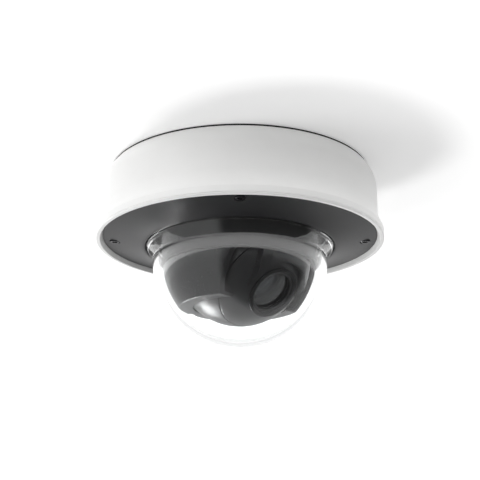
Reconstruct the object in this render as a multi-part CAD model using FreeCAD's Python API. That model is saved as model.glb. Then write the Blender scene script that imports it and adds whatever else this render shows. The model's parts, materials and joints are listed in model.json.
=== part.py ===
"""Ceiling dome camera: housing, clear bubble, and a pan, tilt and roll lens unit.

Millimetres, +Z up.  The origin is the centre of the ceiling mounting face, so the
whole camera hangs below z = 0.  Heights are written as depths below the ceiling.
"""
import FreeCAD, Part
import math
import os

Vec = FreeCAD.Vector

# ---------------------------------------------------------------- clearances
running_gap = 0.05        # radial, shaft in its hole
screw_gap = 0.1           # radial, screw in a plain hole
seat_gap = 0.05           # between pieces that rest on each other
part_gap = 0.3            # between pieces that pass each other
ring_gap = 0.5            # radial, between the turning rings
cover_gap = 0.2           # between the cover's rim and the housing
bezel_gap = 0.15          # between the bezel and the rim
post_root = 0.5           # how far posts run into the wall they stand on

# ---------------------------------------------------------------- lens unit
ball_radius = 38.0
ball_wall = 2.0
ball_seam_offset = 24.8   # seam plane of the ball, from the pivot along the lens axis
lens_azimuth = -45.0      # degrees, about +Z from +X
lens_dip = 43.0           # degrees below the horizon
pivot_drop = 12.6         # below the bezel's edge
turntable_clearance = 1.0 # between the ball's flat walls and the turntable
seam_gap = 0.1            # half of the open seam between the ball's shells
ball_lid = 1.0            # flat walls where the ball is cut back under the turntable
cable_hole_radius = 6.0   # in the back of the ball
tilt_up = 13.0            # degrees of tilt either way from the modelled pose
tilt_down = 47.0
cowl_proud = 1.6          # brow over the lens, above the ball's surface
cowl_corner = 3.7         # reach of the brow's corners beyond the ball
cowl_half_width = 19.0
cowl_roof_drop = 5.4      # flat top of the brow, below the pivot
cowl_lens_gap = 2.45      # from the front ring to the brow's edge
cowl_front = 8.0          # rear end of the brow, ahead of the pivot

# ---------------------------------------------------------------- lens
front_ring_radius = 15.4
front_ring_bore = 11.9
front_ring_length = 3.4
front_ring_setback = 5.79       # back face, behind the ball's foremost point
front_ring_skirt = 2.2          # from the back face to the barrel
front_ring_chamfer = 0.5
window_gap = 0.4                # between the front ring and the ball's window
barrel_radius = 13.0
barrel_wall = 1.6
module_plate_radius = 22.0
module_plate_thickness = 2.0
module_plate_offset = 9.0       # back face, from the pivot along the lens axis
neck_radius = 12.0
bracket_thickness = 2.0
sensor_board_side = 24.0
sensor_board_thickness = 1.6
sensor_side = 9.0
sensor_thickness = 1.4
sensor_holder_length = 3.0
sensor_holder_width = 3.0
light_path_radius = 9.0         # through the lens unit's neck
bracket_gap = 0.3               # either side of the roll bracket
gear_module = 0.55
ring_teeth = 56
pinion_teeth = 11
gear_backlash = 0.16
gear_face = 5.0
ring_addendum = 0.33
pinion_addendum = 0.44
gear_dedendum = 0.6
zoom_ring_offset = 17.0         # rear faces of the rings, along the lens axis
focus_ring_offset = 23.5
motor_radius = 2.5
motor_shaft_radius = 0.75
motor_shaft_length = 2.5
motor_gap = 1.0                 # between a motor and its pinion
lens_group_radius = 9.6
lens_group_length = 3.5
lens_group_bulge = 1.2
zoom_group_offset = 15.2
focus_group_offset = 23.2
lens_bore_gap = 0.08
front_glass_bulge = 1.6
filter_side = 8.0
filter_thickness = 0.8
filter_travel = 4.4
filter_frame_length = 2.4
filter_light_radius = 3.0
filter_gap = 0.1

# ---------------------------------------------------------------- pan unit
shroud_wall = 2.5
shroud_opening_dip = 29.0       # degrees, direction of the front opening
shroud_opening_offset = 27.3    # plane of the front opening, from the pivot
shroud_floor_drop = 28.4        # flat underside, below the pivot
skirt_wall = 1.2
skirt_rise = 1.0                # above the turntable's underside
shroud_floor_thickness = 1.6
shroud_floor_gap = 0.9          # between the ball and the hole in the shroud's floor
collar_proud = 0.2              # beyond the shroud
collar_wall = 1.5
collar_reach = 5.1              # below the pivot
turntable_thickness = 2.5
hub_radius = 14.0
hub_wall = 2.0
bearing_thickness = 1.5
bearing_width = 8.0
bearing_gap = 0.1
bearing_inset = 1.0             # between the hub and the bearing
hub_groove_depth = 0.8
retainer_width = 3.5
retainer_thickness = 1.1
arm_thickness = 2.4
arm_width = 10.0
tilt_pin_radius = 2.5
bush_wall = 1.4
tilt_pin_inset = 1.5            # inside the ball's wall

# ---------------------------------------------------------------- bubble
bubble_clearance = 2.9          # between the shroud and the bubble
bubble_wall = 3.0
bubble_neck_flare = 3.6
bubble_neck_draft = 0.1
bubble_neck_bevel = 1.7
bubble_shoulder_rise = 0.8      # start of the dome, above the pivot
bubble_neck_drop = 6.0          # end of the straight neck, below the bezel's edge
bubble_flange_width = 8.5
bubble_flange_thickness = 3.0
bubble_gasket_thickness = 1.0
bubble_opening_gap = 0.6
clamp_ring_thickness = 2.0
clamp_screw_radius = 1.25
clamp_screw_count = 6
clamp_screw_gap = 0.45          # between the bubble's flange and the screws
clamp_screw_depth = 3.0
clamp_screw_rim = 0.9
clamp_screw_head_height = 1.1
clamp_ring_margin = 0.6
clamp_ring_inset = 1.0          # outside the bubble's neck
clamp_drop = 3.5                # below the pan base

# ---------------------------------------------------------------- cover
bezel_face_width = 24.6
bezel_face_drop = 5.5
bezel_bulge = 0.7
bezel_edge_thickness = 1.6
bezel_edge_rise = 0.9           # above the seat
bezel_lip = 0.5
cover_screw_inset = 6.6         # from the bezel's edge
cover_screw_shank = 1.5
cover_screw_head = 2.8
cover_screw_head_height = 1.3
cover_screw_count = 4
cover_screw_seat = 0.1          # below the bezel's edge
cover_screw_reach = 7.0         # into the boss
cover_recess_gap = 0.3
drive_radius = 1.2
drive_pin_radius = 0.4
drive_depth = 0.9
rim_wall = 1.7
rim_flange_thickness = 1.0
rim_foot_drop = 2.24            # rim's lower edge, below the bezel's edge
rim_lip_width = 1.45
rim_flange_width = 3.2
rim_chamfer = 0.5
rim_split_drop = 1.2            # joint line of rim and housing, below the bezel's edge

# ---------------------------------------------------------------- housing
flange_wall = 1.9
flange_overhang = 3.1
flare_height = 7.9
flare_sag = 0.35
flange_face_height = 3.75
shoulder_inset = 4.5
shoulder_height = 11.5
housing_wall = 3.0
ceiling_gasket_thickness = 1.0
ceiling_gasket_width = 2.2
ceiling_gasket_inset = 0.2
back_recess_rim = 2.8           # rim of the housing round the recess for the plate
plate_thickness = 2.0
plate_clearance = 4.5           # room behind the plate for the ceiling screws' heads
back_wall = 2.5
board_bay_height = 15.0
seal_width = 1.6
seal_groove_depth = 1.6
seal_inset = 1.0                # inside the rim's web
seal_side_gap = 0.1
boss_wall = 2.5
boss_hole_depth = 9.0
post_hole_depth = 10.0
stud_wall = 2.0
stud_hole_depth = 8.0

# ---------------------------------------------------------------- mounting plate
plate_hole_radius = 2.6
plate_hole_circle = 50.0
plate_hole_count = 4
plate_cable_radius = 14.0
plate_screw_radius = 2.0
plate_screw_head = 3.6
plate_screw_head_height = 2.2
plate_screw_count = 3
plate_hole_spacing = 3.4        # between the two circles of holes
plate_margin = 8.0
plate_post_wall = 3.0
plate_screw_web = 1.0           # metal under the drive socket

# ---------------------------------------------------------------- electronics
board_thickness = 1.6
board_screw_radius = 1.5
board_screw_head = 2.8
board_screw_head_height = 1.8
board_clearance = 3.4           # between the board and the pan base
board_gap = 1.2                 # between the board and the bosses
board_screw_count = 4
board_screw_inset = 5.0
board_screw_bearing = 75.0      # degrees
board_screw_reach = 7.0
pan_base_thickness = 2.5
post_radius = 4.5
post_inset = 1.0
post_count = 3
post_bearing = 30.0             # degrees
pan_base_rim = 0.4              # beyond the board
pan_screw_reach = 8.0
gland_bore = 3.2
gland_body_radius = 8.0
gland_flange = 2.5
gland_nose = 5.0
gland_flange_thickness = 1.8
gland_nose_wall = 1.2
gland_nose_step = 1.0
jack_length = 21.0
jack_width = 16.0
jack_socket_width = 11.9
jack_socket_height = 8.2
jack_socket_depth = 13.0
jack_position = -48.0           # back of the jack, along X
jack_rise = 13.5                # height of the jack above the board
jack_floor = 2.2
jack_latch_half = 3.2
jack_latch_depth = 1.6
terminal_place = (20.0, -34.0)
terminal_length = 11.0
terminal_width = 20.0
terminal_height = 9.0
terminal_ways = 4
terminal_pitch = 5.0
terminal_slot_width = 3.2
terminal_slot_depth = 5.0
terminal_slot_low = 3.8
terminal_slot_high = 7.0
processor_place = (17.0, 14.0)
processor_side = 18.0
processor_height = 3.2
sink_place = (10.0, 10.0)
sink_length = 32.0
sink_width = 26.0
sink_base = 2.0
sink_height = 7.8
sink_fins = 7
sink_pitch = 5.0
sink_fin = 2.0
can_radius = 4.0
can_height = 10.5
can_places = ((-14.0, 34.0), (-4.0, 38.0), (-16.0, 46.0))
flex_place = (-8.0, -42.0)
flex_length = 16.0
flex_width = 4.0
flex_height = 3.0
button_radius = 1.6
button_case_half = 3.0
button_case_floor = 0.6
button_case_gap = 0.5           # between the case and the pan base
button_travel = 0.8
button_proud = 1.0
button_bearing = 10.0           # degrees, about +Z from +X

# ---------------------------------------------------------------- worked out: radii
cowl_radius = ball_radius + cowl_proud
cowl_corner_radius = ball_radius + cowl_corner
shroud_inner = cowl_corner_radius + part_gap
shroud_radius = shroud_inner + shroud_wall
collar_radius = shroud_radius + collar_proud
collar_inner = collar_radius - collar_wall
skirt_radius = collar_inner - ring_gap
skirt_inner = skirt_radius - skirt_wall
arm_outer = skirt_inner - ring_gap
arm_inner = arm_outer - arm_thickness
bubble_inner = shroud_radius + bubble_clearance
bubble_radius = bubble_inner + bubble_wall
neck_outer = bubble_radius + bubble_neck_flare
neck_inner = neck_outer - bubble_wall - bubble_neck_draft
opening_radius = neck_outer + bubble_opening_gap
bubble_flange_radius = neck_outer + bubble_flange_width
clamp_screw_circle = bubble_flange_radius + clamp_screw_radius + clamp_screw_gap
clamp_ring_radius = clamp_screw_circle + clamp_screw_radius + clamp_ring_margin
bezel_radius = opening_radius + bezel_face_width
cover_screw_circle = bezel_radius - cover_screw_inset
rim_web_inner = bezel_radius + bezel_gap
rim_web_outer = rim_web_inner + rim_wall
rim_radius = rim_web_outer + cover_gap + flange_wall
housing_radius = rim_radius - flange_overhang
housing_inner = housing_radius - housing_wall
shoulder_radius = housing_radius - shoulder_inset
boss_radius = cover_screw_shank + boss_wall
board_radius = cover_screw_circle - boss_radius - board_gap
pan_post_circle = board_radius - post_radius - post_inset
plate_screw_circle = plate_hole_circle + plate_hole_radius + plate_screw_radius + plate_hole_spacing
plate_radius = plate_screw_circle + plate_screw_radius + plate_margin

# ---------------------------------------------------------------- worked out: depths
back_top = plate_thickness + plate_clearance
back_bottom = back_top + back_wall
board_top = back_bottom + board_bay_height
board_bottom = board_top + board_thickness
pan_base_top = board_bottom + board_clearance
pan_base_bottom = pan_base_top + pan_base_thickness
turntable_top = pan_base_bottom + bearing_thickness + bearing_gap
turntable_bottom = turntable_top + turntable_thickness
clamp_ring_top = pan_base_bottom + clamp_drop
clamp_ring_bottom = clamp_ring_top + clamp_ring_thickness
bubble_flange_bottom = clamp_ring_bottom + bubble_flange_thickness
bezel_seat_depth = bubble_flange_bottom + bubble_gasket_thickness
bezel_edge_depth = bezel_seat_depth - bezel_edge_rise
bezel_top_depth = bezel_edge_depth - bezel_edge_thickness
rim_flange_bottom = bezel_top_depth - seat_gap
rim_flange_top = rim_flange_bottom - rim_flange_thickness
step_depth = rim_flange_top - part_gap
split_depth = bezel_edge_depth + rim_split_drop
rim_bottom = bezel_edge_depth + rim_foot_drop
opening_depth = bezel_edge_depth + bezel_face_drop
pivot_depth = bezel_edge_depth + pivot_drop
collar_bottom = pivot_depth + collar_reach
neck_bottom = bezel_edge_depth + bubble_neck_drop
headroom = pivot_depth - turntable_bottom - turntable_clearance
ring_back = ball_radius - front_ring_setback

# ---------------------------------------------------------------- frames
pivot = Vec(0, 0, -pivot_depth)
heading = Vec(math.cos(math.radians(lens_azimuth)), math.sin(math.radians(lens_azimuth)), 0)
tilt_axis = Vec(-heading.y, heading.x, 0)
lens_axis = heading * math.cos(math.radians(lens_dip)) - Vec(0, 0, math.sin(math.radians(lens_dip)))
lens_up = lens_axis.cross(tilt_axis)
pan_frame = FreeCAD.Placement(pivot, FreeCAD.Rotation(heading, tilt_axis, Vec(0, 0, 1), "ZXY"))
lens_frame = FreeCAD.Placement(pivot, FreeCAD.Rotation(tilt_axis, lens_up, lens_axis, "ZXY"))

nodes = {}


# ---------------------------------------------------------------- shape helpers
def turned(outline):
    """Revolve an outline about Z.  A corner is (r, z); an arc is ((r, z) middle, (r, z) end)."""
    edges = []
    last = Vec(outline[0][0], 0, outline[0][1])
    for item in outline[1:]:
        if isinstance(item[0], tuple):
            middle = Vec(item[0][0], 0, item[0][1])
            end = Vec(item[1][0], 0, item[1][1])
            edges.append(Part.Arc(last, middle, end).toShape())
        else:
            end = Vec(item[0], 0, item[1])
            edges.append(Part.makeLine(last, end))
        last = end
    first = Vec(outline[0][0], 0, outline[0][1])
    if last.distanceToPoint(first) > 1e-6:
        edges.append(Part.makeLine(last, first))
    face = Part.Face(Part.Wire(edges))
    return face.revolve(Vec(0, 0, 0), Vec(0, 0, 1), 360)


def hung(outline):
    """Revolve an outline whose heights are depths below the ceiling."""
    flipped = []
    for item in outline:
        if isinstance(item[0], tuple):
            flipped.append(((item[0][0], -item[0][1]), (item[1][0], -item[1][1])))
        else:
            flipped.append((item[0], -item[1]))
    return turned(flipped)


def disc(radius, top, bottom, x=0.0, y=0.0):
    """Upright cylinder between two depths."""
    return Part.makeCylinder(radius, bottom - top, Vec(x, y, -bottom))


def ring(inner, outer, top, bottom):
    """Flat ring between two depths."""
    return disc(outer, top, bottom).cut(disc(inner, top, bottom))


def slab(x0, x1, y0, y1, top, bottom):
    """Box between two depths."""
    return Part.makeBox(x1 - x0, y1 - y0, bottom - top, Vec(x0, y0, -bottom))


def rod(radius, start, end, x=0.0, y=0.0):
    """Cylinder along local Z."""
    return Part.makeCylinder(radius, end - start, Vec(x, y, start))


def tube(inner, outer, start, end, x=0.0, y=0.0):
    """Tube along local Z."""
    return rod(outer, start, end, x, y).cut(rod(inner, start, end, x, y))


def polar(radius, count, first=0.0):
    """Points spaced evenly round a circle."""
    angles = [math.radians(first + 360.0 * k / count) for k in range(count)]
    return [(radius * math.cos(a), radius * math.sin(a)) for a in angles]


def sagged(start, end, sag):
    """Middle point of an arc that bows by sag to the left of start to end."""
    dr = end[0] - start[0]
    dz = end[1] - start[1]
    length = math.hypot(dr, dz)
    return ((start[0] + end[0]) / 2 - dz / length * sag, (start[1] + end[1]) / 2 + dr / length * sag)


def on_sphere(radius, height):
    """Radius of a sphere's slice at a height above its centre."""
    return math.sqrt(radius * radius - height * height)


def shell(inner, outer):
    """Hollow ball about the local origin."""
    return Part.makeSphere(outer).cut(Part.makeSphere(inner))


def dome(radius, base, rise):
    """Arc of a spherical cap, from its edge (radius, base) up to the axis."""
    curve = (radius * radius + rise * rise) / (2 * rise)
    half = math.asin(radius / curve) / 2
    middle = (curve * math.sin(half), base + rise - curve * (1 - math.cos(half)))
    return (middle, (0, base + rise))


def half_space(normal, offset, size=400.0):
    """Large block that fills the side of a plane that its normal points to."""
    block = Part.makeBox(size, size, size, Vec(-size / 2, -size / 2, 0))
    turn = FreeCAD.Rotation(Vec(0, 0, 1), normal)
    block.Placement = FreeCAD.Placement(normal * offset, turn)
    return block


def moved(shape, frame):
    """Copy of a shape carried from a local frame to the camera's frame."""
    copy = shape.copy()
    copy.Placement = frame.multiply(copy.Placement)
    return copy


def involute(angle):
    """The involute function."""
    return math.tan(angle) - angle


def gear(teeth, addendum, dedendum, start, end, first_angle):
    """Spur gear along local Z with a tooth centred on first_angle (radians)."""
    pressure = math.radians(20.0)
    pitch = gear_module * teeth / 2
    base = pitch * math.cos(pressure)
    root = pitch - dedendum
    tip = pitch + addendum
    low = max(base, root)
    levels = [root] + [low + (tip - low) * k / 3 for k in range(4)]
    half_tooth = math.pi / (2 * teeth) - gear_backlash / (2 * pitch)
    flank = []
    for level in levels:
        slope = math.acos(min(1.0, base / level))
        flank.append((level, half_tooth + involute(pressure) - involute(slope)))
    corners = []
    for k in range(teeth):
        centre = first_angle + 2 * math.pi * k / teeth
        corners += [(level, centre - half) for level, half in flank]
        corners += [(level, centre + half) for level, half in reversed(flank)]
    points = [Vec(r * math.cos(a), r * math.sin(a), start) for r, a in corners]
    distinct = [p for k, p in enumerate(points) if p.distanceToPoint(points[k - 1]) > 1e-4]
    wire = Part.makePolygon(distinct + [distinct[0]])
    return Part.Face(wire).extrude(Vec(0, 0, end - start))


# ---------------------------------------------------------------- mounting plate and housing
def build_mounting():
    """Ceiling plate, its screws, the foam gasket and the cable gland."""
    plate = disc(plate_radius, 0, plate_thickness).cut(disc(plate_cable_radius, 0, plate_thickness))
    for x, y in polar(plate_hole_circle, plate_hole_count, 45.0):
        plate = plate.cut(disc(plate_hole_radius, 0, plate_thickness, x, y))
    screws = []
    for x, y in polar(plate_screw_circle, plate_screw_count, 90.0):
        plate = plate.cut(disc(plate_screw_radius + seat_gap, 0, plate_thickness, x, y))
        shank = disc(plate_screw_radius, part_gap, back_bottom, x, y)
        head = disc(plate_screw_head, back_bottom, back_bottom + plate_screw_head_height, x, y)
        socket = disc(plate_screw_radius, back_bottom + plate_screw_web, back_bottom + plate_screw_head_height, x, y)
        screws.append(shank.fuse(head).cut(socket))
    nodes["mount_plate"] = plate
    nodes["plate_screws"] = Part.makeCompound(screws)
    gasket_outer = shoulder_radius - ceiling_gasket_inset
    nodes["ceiling_gasket"] = ring(gasket_outer - ceiling_gasket_width, gasket_outer, 0, ceiling_gasket_thickness)

    body = disc(gland_body_radius, back_top, back_bottom)
    upper = disc(gland_body_radius + gland_flange, back_top - gland_flange_thickness, back_top)
    lower = disc(gland_body_radius + gland_flange, back_bottom, back_bottom + gland_flange_thickness)
    nose_top = back_bottom + gland_flange_thickness
    nose = hung([(0, nose_top), (gland_body_radius - gland_nose_step, nose_top),
                 (gland_bore + gland_nose_wall, nose_top + gland_nose), (0, nose_top + gland_nose)])
    gland = body.fuse(upper).fuse(lower).fuse(nose)
    nodes["cable_gland"] = gland.cut(disc(gland_bore, back_top - gland_flange_thickness, nose_top + gland_nose)).removeSplitter()


def build_housing():
    """White housing: shouldered drum, flared flange, bosses and seal groove."""
    edge = split_depth - seat_gap
    flange_top = edge - flange_face_height
    flare_top = flange_top - flare_height
    rise = shoulder_height
    arc_radius = (shoulder_inset ** 2 + rise ** 2) / (2 * shoulder_inset)
    turn = math.asin(rise / arc_radius) / 2
    shoulder_end = ceiling_gasket_thickness + rise
    shoulder_middle = (housing_radius - arc_radius * (1 - math.cos(turn)),
                       shoulder_end - arc_radius * math.sin(turn))
    flare_start = (housing_radius, flare_top)
    flare_end = (rim_radius, flange_top)
    flare_middle = sagged(flare_start, flare_end, flare_sag)
    flange_inner = rim_web_outer + cover_gap
    recess = shoulder_radius - back_recess_rim
    body = hung([(0, back_top), (recess, back_top), (recess, ceiling_gasket_thickness),
                 (shoulder_radius, ceiling_gasket_thickness),
                 (shoulder_middle, (housing_radius, shoulder_end)),
                 flare_start, (flare_middle, flare_end), (rim_radius, edge),
                 (flange_inner, edge), (flange_inner, step_depth), (housing_inner, step_depth),
                 (housing_inner, back_bottom), (0, back_bottom)])
    seal_outer = rim_web_outer - seal_inset
    groove = ring(seal_outer - seal_width, seal_outer, step_depth - seal_groove_depth, step_depth)
    body = body.cut(groove)
    body = body.cut(disc(gland_body_radius + seat_gap, back_top, back_bottom))
    for x, y in polar(cover_screw_circle, cover_screw_count):
        body = body.fuse(disc(boss_radius, back_bottom - post_root, step_depth, x, y))
    for x, y in polar(pan_post_circle, post_count, post_bearing):
        body = body.fuse(disc(post_radius, back_bottom - post_root, pan_base_top, x, y))
    for x, y in polar(plate_screw_circle, plate_screw_count, 90.0):
        body = body.fuse(disc(plate_screw_radius + plate_post_wall, plate_thickness + seat_gap, back_top + post_root, x, y))
    for x, y in polar(board_radius - board_screw_inset, board_screw_count, board_screw_bearing):
        body = body.fuse(disc(board_screw_radius + stud_wall, back_bottom - post_root, board_top - seat_gap, x, y))
        body = body.cut(disc(board_screw_radius + seat_gap, board_top - stud_hole_depth, board_top, x, y))
    for x, y in polar(cover_screw_circle, cover_screw_count):
        body = body.cut(disc(cover_screw_shank + screw_gap, step_depth - boss_hole_depth, step_depth, x, y))
    for x, y in polar(pan_post_circle, post_count, post_bearing):
        body = body.cut(disc(board_screw_radius + seat_gap, pan_base_top - post_hole_depth, pan_base_top, x, y))
    for x, y in polar(plate_screw_circle, plate_screw_count, 90.0):
        body = body.cut(disc(plate_screw_radius + screw_gap, plate_thickness, back_bottom, x, y))
    nodes["housing"] = body.removeSplitter()

    low = rim_flange_top - seat_gap
    nodes["cover_seal"] = ring(seal_outer - seal_width + seal_side_gap, seal_outer - seal_side_gap,
                               step_depth - seal_groove_depth + seat_gap, low)


# ---------------------------------------------------------------- electronics
def button_place():
    """Centre of the reset button, on the circle of the pan base's posts."""
    return polar(pan_post_circle, 1, button_bearing)[0]


def build_electronics():
    """Main board on four studs with its jack, terminals, heat sink and button."""
    posts = polar(pan_post_circle, post_count, post_bearing)
    studs = polar(board_radius - board_screw_inset, board_screw_count, board_screw_bearing)
    board = disc(board_radius, board_top, board_bottom)
    for x, y in posts:
        board = board.cut(disc(post_radius + part_gap, board_top, board_bottom, x, y))
    screws = []
    for x, y in studs:
        board = board.cut(disc(board_screw_radius + screw_gap, board_top, board_bottom, x, y))
        shank = disc(board_screw_radius, board_top - board_screw_reach, board_bottom, x, y)
        head = disc(board_screw_head, board_bottom, board_bottom + board_screw_head_height, x, y)
        screws.append(shank.fuse(head))
    nodes["board_screws"] = Part.makeCompound(screws)

    jack_front = jack_position + jack_length
    socket_bottom = board_top - jack_floor
    socket_top = socket_bottom - jack_socket_height
    socket_back = jack_front - jack_socket_depth
    jack = slab(jack_position, jack_front, -jack_width / 2, jack_width / 2, board_top - jack_rise, board_top)
    socket = slab(socket_back, jack_front, -jack_socket_width / 2, jack_socket_width / 2, socket_top, socket_bottom)
    latch = slab(socket_back, jack_front, -jack_latch_half, jack_latch_half, socket_top - jack_latch_depth, socket_top)
    nodes["network_jack"] = jack.cut(socket).cut(latch)

    x0, y0 = terminal_place
    terminal = slab(x0, x0 + terminal_length, y0, y0 + terminal_width, board_top - terminal_height, board_top)
    for k in range(terminal_ways):
        y = y0 + terminal_width / 2 + terminal_pitch * (k - (terminal_ways - 1) / 2)
        terminal = terminal.cut(slab(x0, x0 + terminal_slot_depth, y - terminal_slot_width / 2,
                                     y + terminal_slot_width / 2, board_top - terminal_slot_high,
                                     board_top - terminal_slot_low))
    nodes["power_terminal"] = terminal

    x0, y0 = processor_place
    nodes["processor"] = slab(x0, x0 + processor_side, y0, y0 + processor_side, board_top - processor_height, board_top)
    x0, y0 = sink_place
    sink_bottom = board_top - processor_height
    sink = slab(x0, x0 + sink_length, y0, y0 + sink_width, sink_bottom - sink_base, sink_bottom)
    for k in range(sink_fins):
        x = x0 + sink_pitch * k
        sink = sink.fuse(slab(x, x + sink_fin, y0, y0 + sink_width, sink_bottom - sink_height, sink_bottom - sink_base))
    nodes["heat_sink"] = sink.removeSplitter()
    nodes["capacitors"] = Part.makeCompound([disc(can_radius, board_top - can_height, board_top, x, y)
                                             for x, y in can_places])
    x0, y0 = flex_place
    nodes["flex_connector"] = slab(x0, x0 + flex_length, y0, y0 + flex_width, board_top - flex_height, board_top)

    x, y = button_place()
    case_bottom = pan_base_top - button_case_gap
    half = button_case_half
    case = slab(x - half, x + half, y - half, y + half, board_bottom, case_bottom)
    floor = board_bottom + button_case_floor
    nodes["button_case"] = case.cut(disc(button_radius + running_gap, floor, case_bottom, x, y))
    rest = floor + button_travel + seat_gap
    nodes["reset_button"] = disc(button_radius, rest, pan_base_bottom + button_proud, x, y)
    nodes["main_board"] = board


# ---------------------------------------------------------------- cover
def build_cover():
    """White rim, black bezel, clear bubble, its gasket, clamp ring and screws."""
    lip_outer = rim_web_inner + rim_lip_width
    rim = hung([(rim_web_inner, rim_flange_bottom), (rim_web_inner, bezel_edge_depth),
                (lip_outer, rim_bottom), (rim_radius - rim_chamfer, rim_bottom),
                (rim_radius, rim_bottom - rim_chamfer), (rim_radius, split_depth + seat_gap),
                (rim_web_outer, split_depth + seat_gap), (rim_web_outer, rim_flange_top),
                (rim_web_inner - rim_flange_width, rim_flange_top),
                (rim_web_inner - rim_flange_width, rim_flange_bottom)])
    nodes["cover_rim"] = rim

    step_radius = bubble_flange_radius + ring_gap
    start = (bezel_radius, bezel_edge_depth)
    end = (opening_radius + bezel_lip, opening_depth)
    face_middle = sagged(start, end, -bezel_bulge)
    bezel = hung([(opening_radius, bezel_seat_depth), (step_radius, bezel_seat_depth),
                  (step_radius, bezel_top_depth), (bezel_radius, bezel_top_depth), start,
                  (face_middle, end), (opening_radius, opening_depth - bezel_lip)])
    head_seat = bezel_edge_depth + cover_screw_seat
    head_face = head_seat + cover_screw_head_height
    screws = []
    for x, y in polar(cover_screw_circle, cover_screw_count):
        bezel = bezel.cut(disc(cover_screw_shank + screw_gap, bezel_top_depth, opening_depth, x, y))
        bezel = bezel.cut(disc(cover_screw_head + cover_recess_gap, head_seat, opening_depth, x, y))
        shank = disc(cover_screw_shank, step_depth - cover_screw_reach, head_seat, x, y)
        head = disc(cover_screw_head, head_seat, head_face, x, y)
        drive = disc(drive_radius, head_face - drive_depth, head_face, x, y)
        pin = disc(drive_pin_radius, head_face - drive_depth, head_face, x, y)
        screws.append(shank.fuse(head).cut(drive).fuse(pin).removeSplitter())
    nodes["cover_screws"] = Part.makeCompound(screws)

    clamp = ring(neck_outer + clamp_ring_inset, clamp_ring_radius, clamp_ring_top, clamp_ring_bottom)
    clamp_screws = []
    for x, y in polar(clamp_screw_circle, clamp_screw_count, 30.0):
        clamp = clamp.cut(disc(clamp_screw_radius + screw_gap, clamp_ring_top, clamp_ring_bottom, x, y))
        screw_end = bezel_top_depth + clamp_screw_depth
        bezel = bezel.cut(disc(clamp_screw_radius + seat_gap, bezel_top_depth, screw_end + cover_gap, x, y))
        shank = disc(clamp_screw_radius, clamp_ring_top, screw_end, x, y)
        head = disc(clamp_screw_radius + clamp_screw_rim, clamp_ring_top - clamp_screw_head_height, clamp_ring_top, x, y)
        clamp_screws.append(shank.fuse(head))
    nodes["clamp_ring"] = clamp
    nodes["clamp_screws"] = Part.makeCompound(clamp_screws)
    nodes["bezel"] = bezel

    nodes["bubble_gasket"] = ring(opening_radius + cover_gap, bubble_flange_radius,
                                  bubble_flange_bottom, bezel_seat_depth)

    shoulder = pivot_depth - bubble_shoulder_rise
    outer_shoulder = on_sphere(bubble_radius, bubble_shoulder_rise)
    inner_shoulder = on_sphere(bubble_inner, bubble_shoulder_rise)
    bend = math.radians(45.0)
    outer_middle = (bubble_radius * math.cos(bend), pivot_depth + bubble_radius * math.sin(bend))
    inner_middle = (bubble_inner * math.cos(bend), pivot_depth + bubble_inner * math.sin(bend))
    nodes["bubble"] = hung([(neck_inner, clamp_ring_bottom), (bubble_flange_radius, clamp_ring_bottom),
                            (bubble_flange_radius, bubble_flange_bottom), (neck_outer, bubble_flange_bottom),
                            (neck_outer, neck_bottom), (outer_shoulder, shoulder),
                            (outer_middle, (0, pivot_depth + bubble_radius)), (0, pivot_depth + bubble_inner),
                            (inner_middle, (inner_shoulder, shoulder)), (neck_inner, neck_bottom - bubble_neck_bevel)])


# ---------------------------------------------------------------- pan unit
def build_pan_base():
    """Fixed plate that carries the pan bearing, and the black collar below it."""
    base = disc(board_radius + pan_base_rim, pan_base_top + seat_gap, pan_base_bottom)
    base = base.cut(disc(hub_radius + running_gap, pan_base_top, pan_base_bottom))
    screws = []
    for x, y in polar(pan_post_circle, post_count, post_bearing):
        base = base.cut(disc(board_screw_radius + screw_gap, pan_base_top, pan_base_bottom, x, y))
        shank = disc(board_screw_radius, pan_base_top - pan_screw_reach, pan_base_bottom, x, y)
        head = disc(board_screw_head, pan_base_bottom, pan_base_bottom + board_screw_head_height, x, y)
        screws.append(shank.fuse(head))
    x, y = button_place()
    nodes["pan_base"] = base.cut(disc(button_radius + part_gap, pan_base_top, pan_base_bottom, x, y))
    nodes["pan_base_screws"] = Part.makeCompound(screws)
    bearing_inner = hub_radius + bearing_inset
    nodes["pan_bearing"] = ring(bearing_inner, bearing_inner + bearing_width,
                                pan_base_bottom, pan_base_bottom + bearing_thickness)
    collar_flange = pan_post_circle - board_screw_head - post_inset
    nodes["collar"] = hung([(collar_inner, pan_base_bottom), (collar_flange, pan_base_bottom),
                            (collar_flange, pan_base_bottom + collar_wall), (collar_radius, pan_base_bottom + collar_wall),
                            (collar_radius, collar_bottom), (collar_inner, collar_bottom)])


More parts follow.
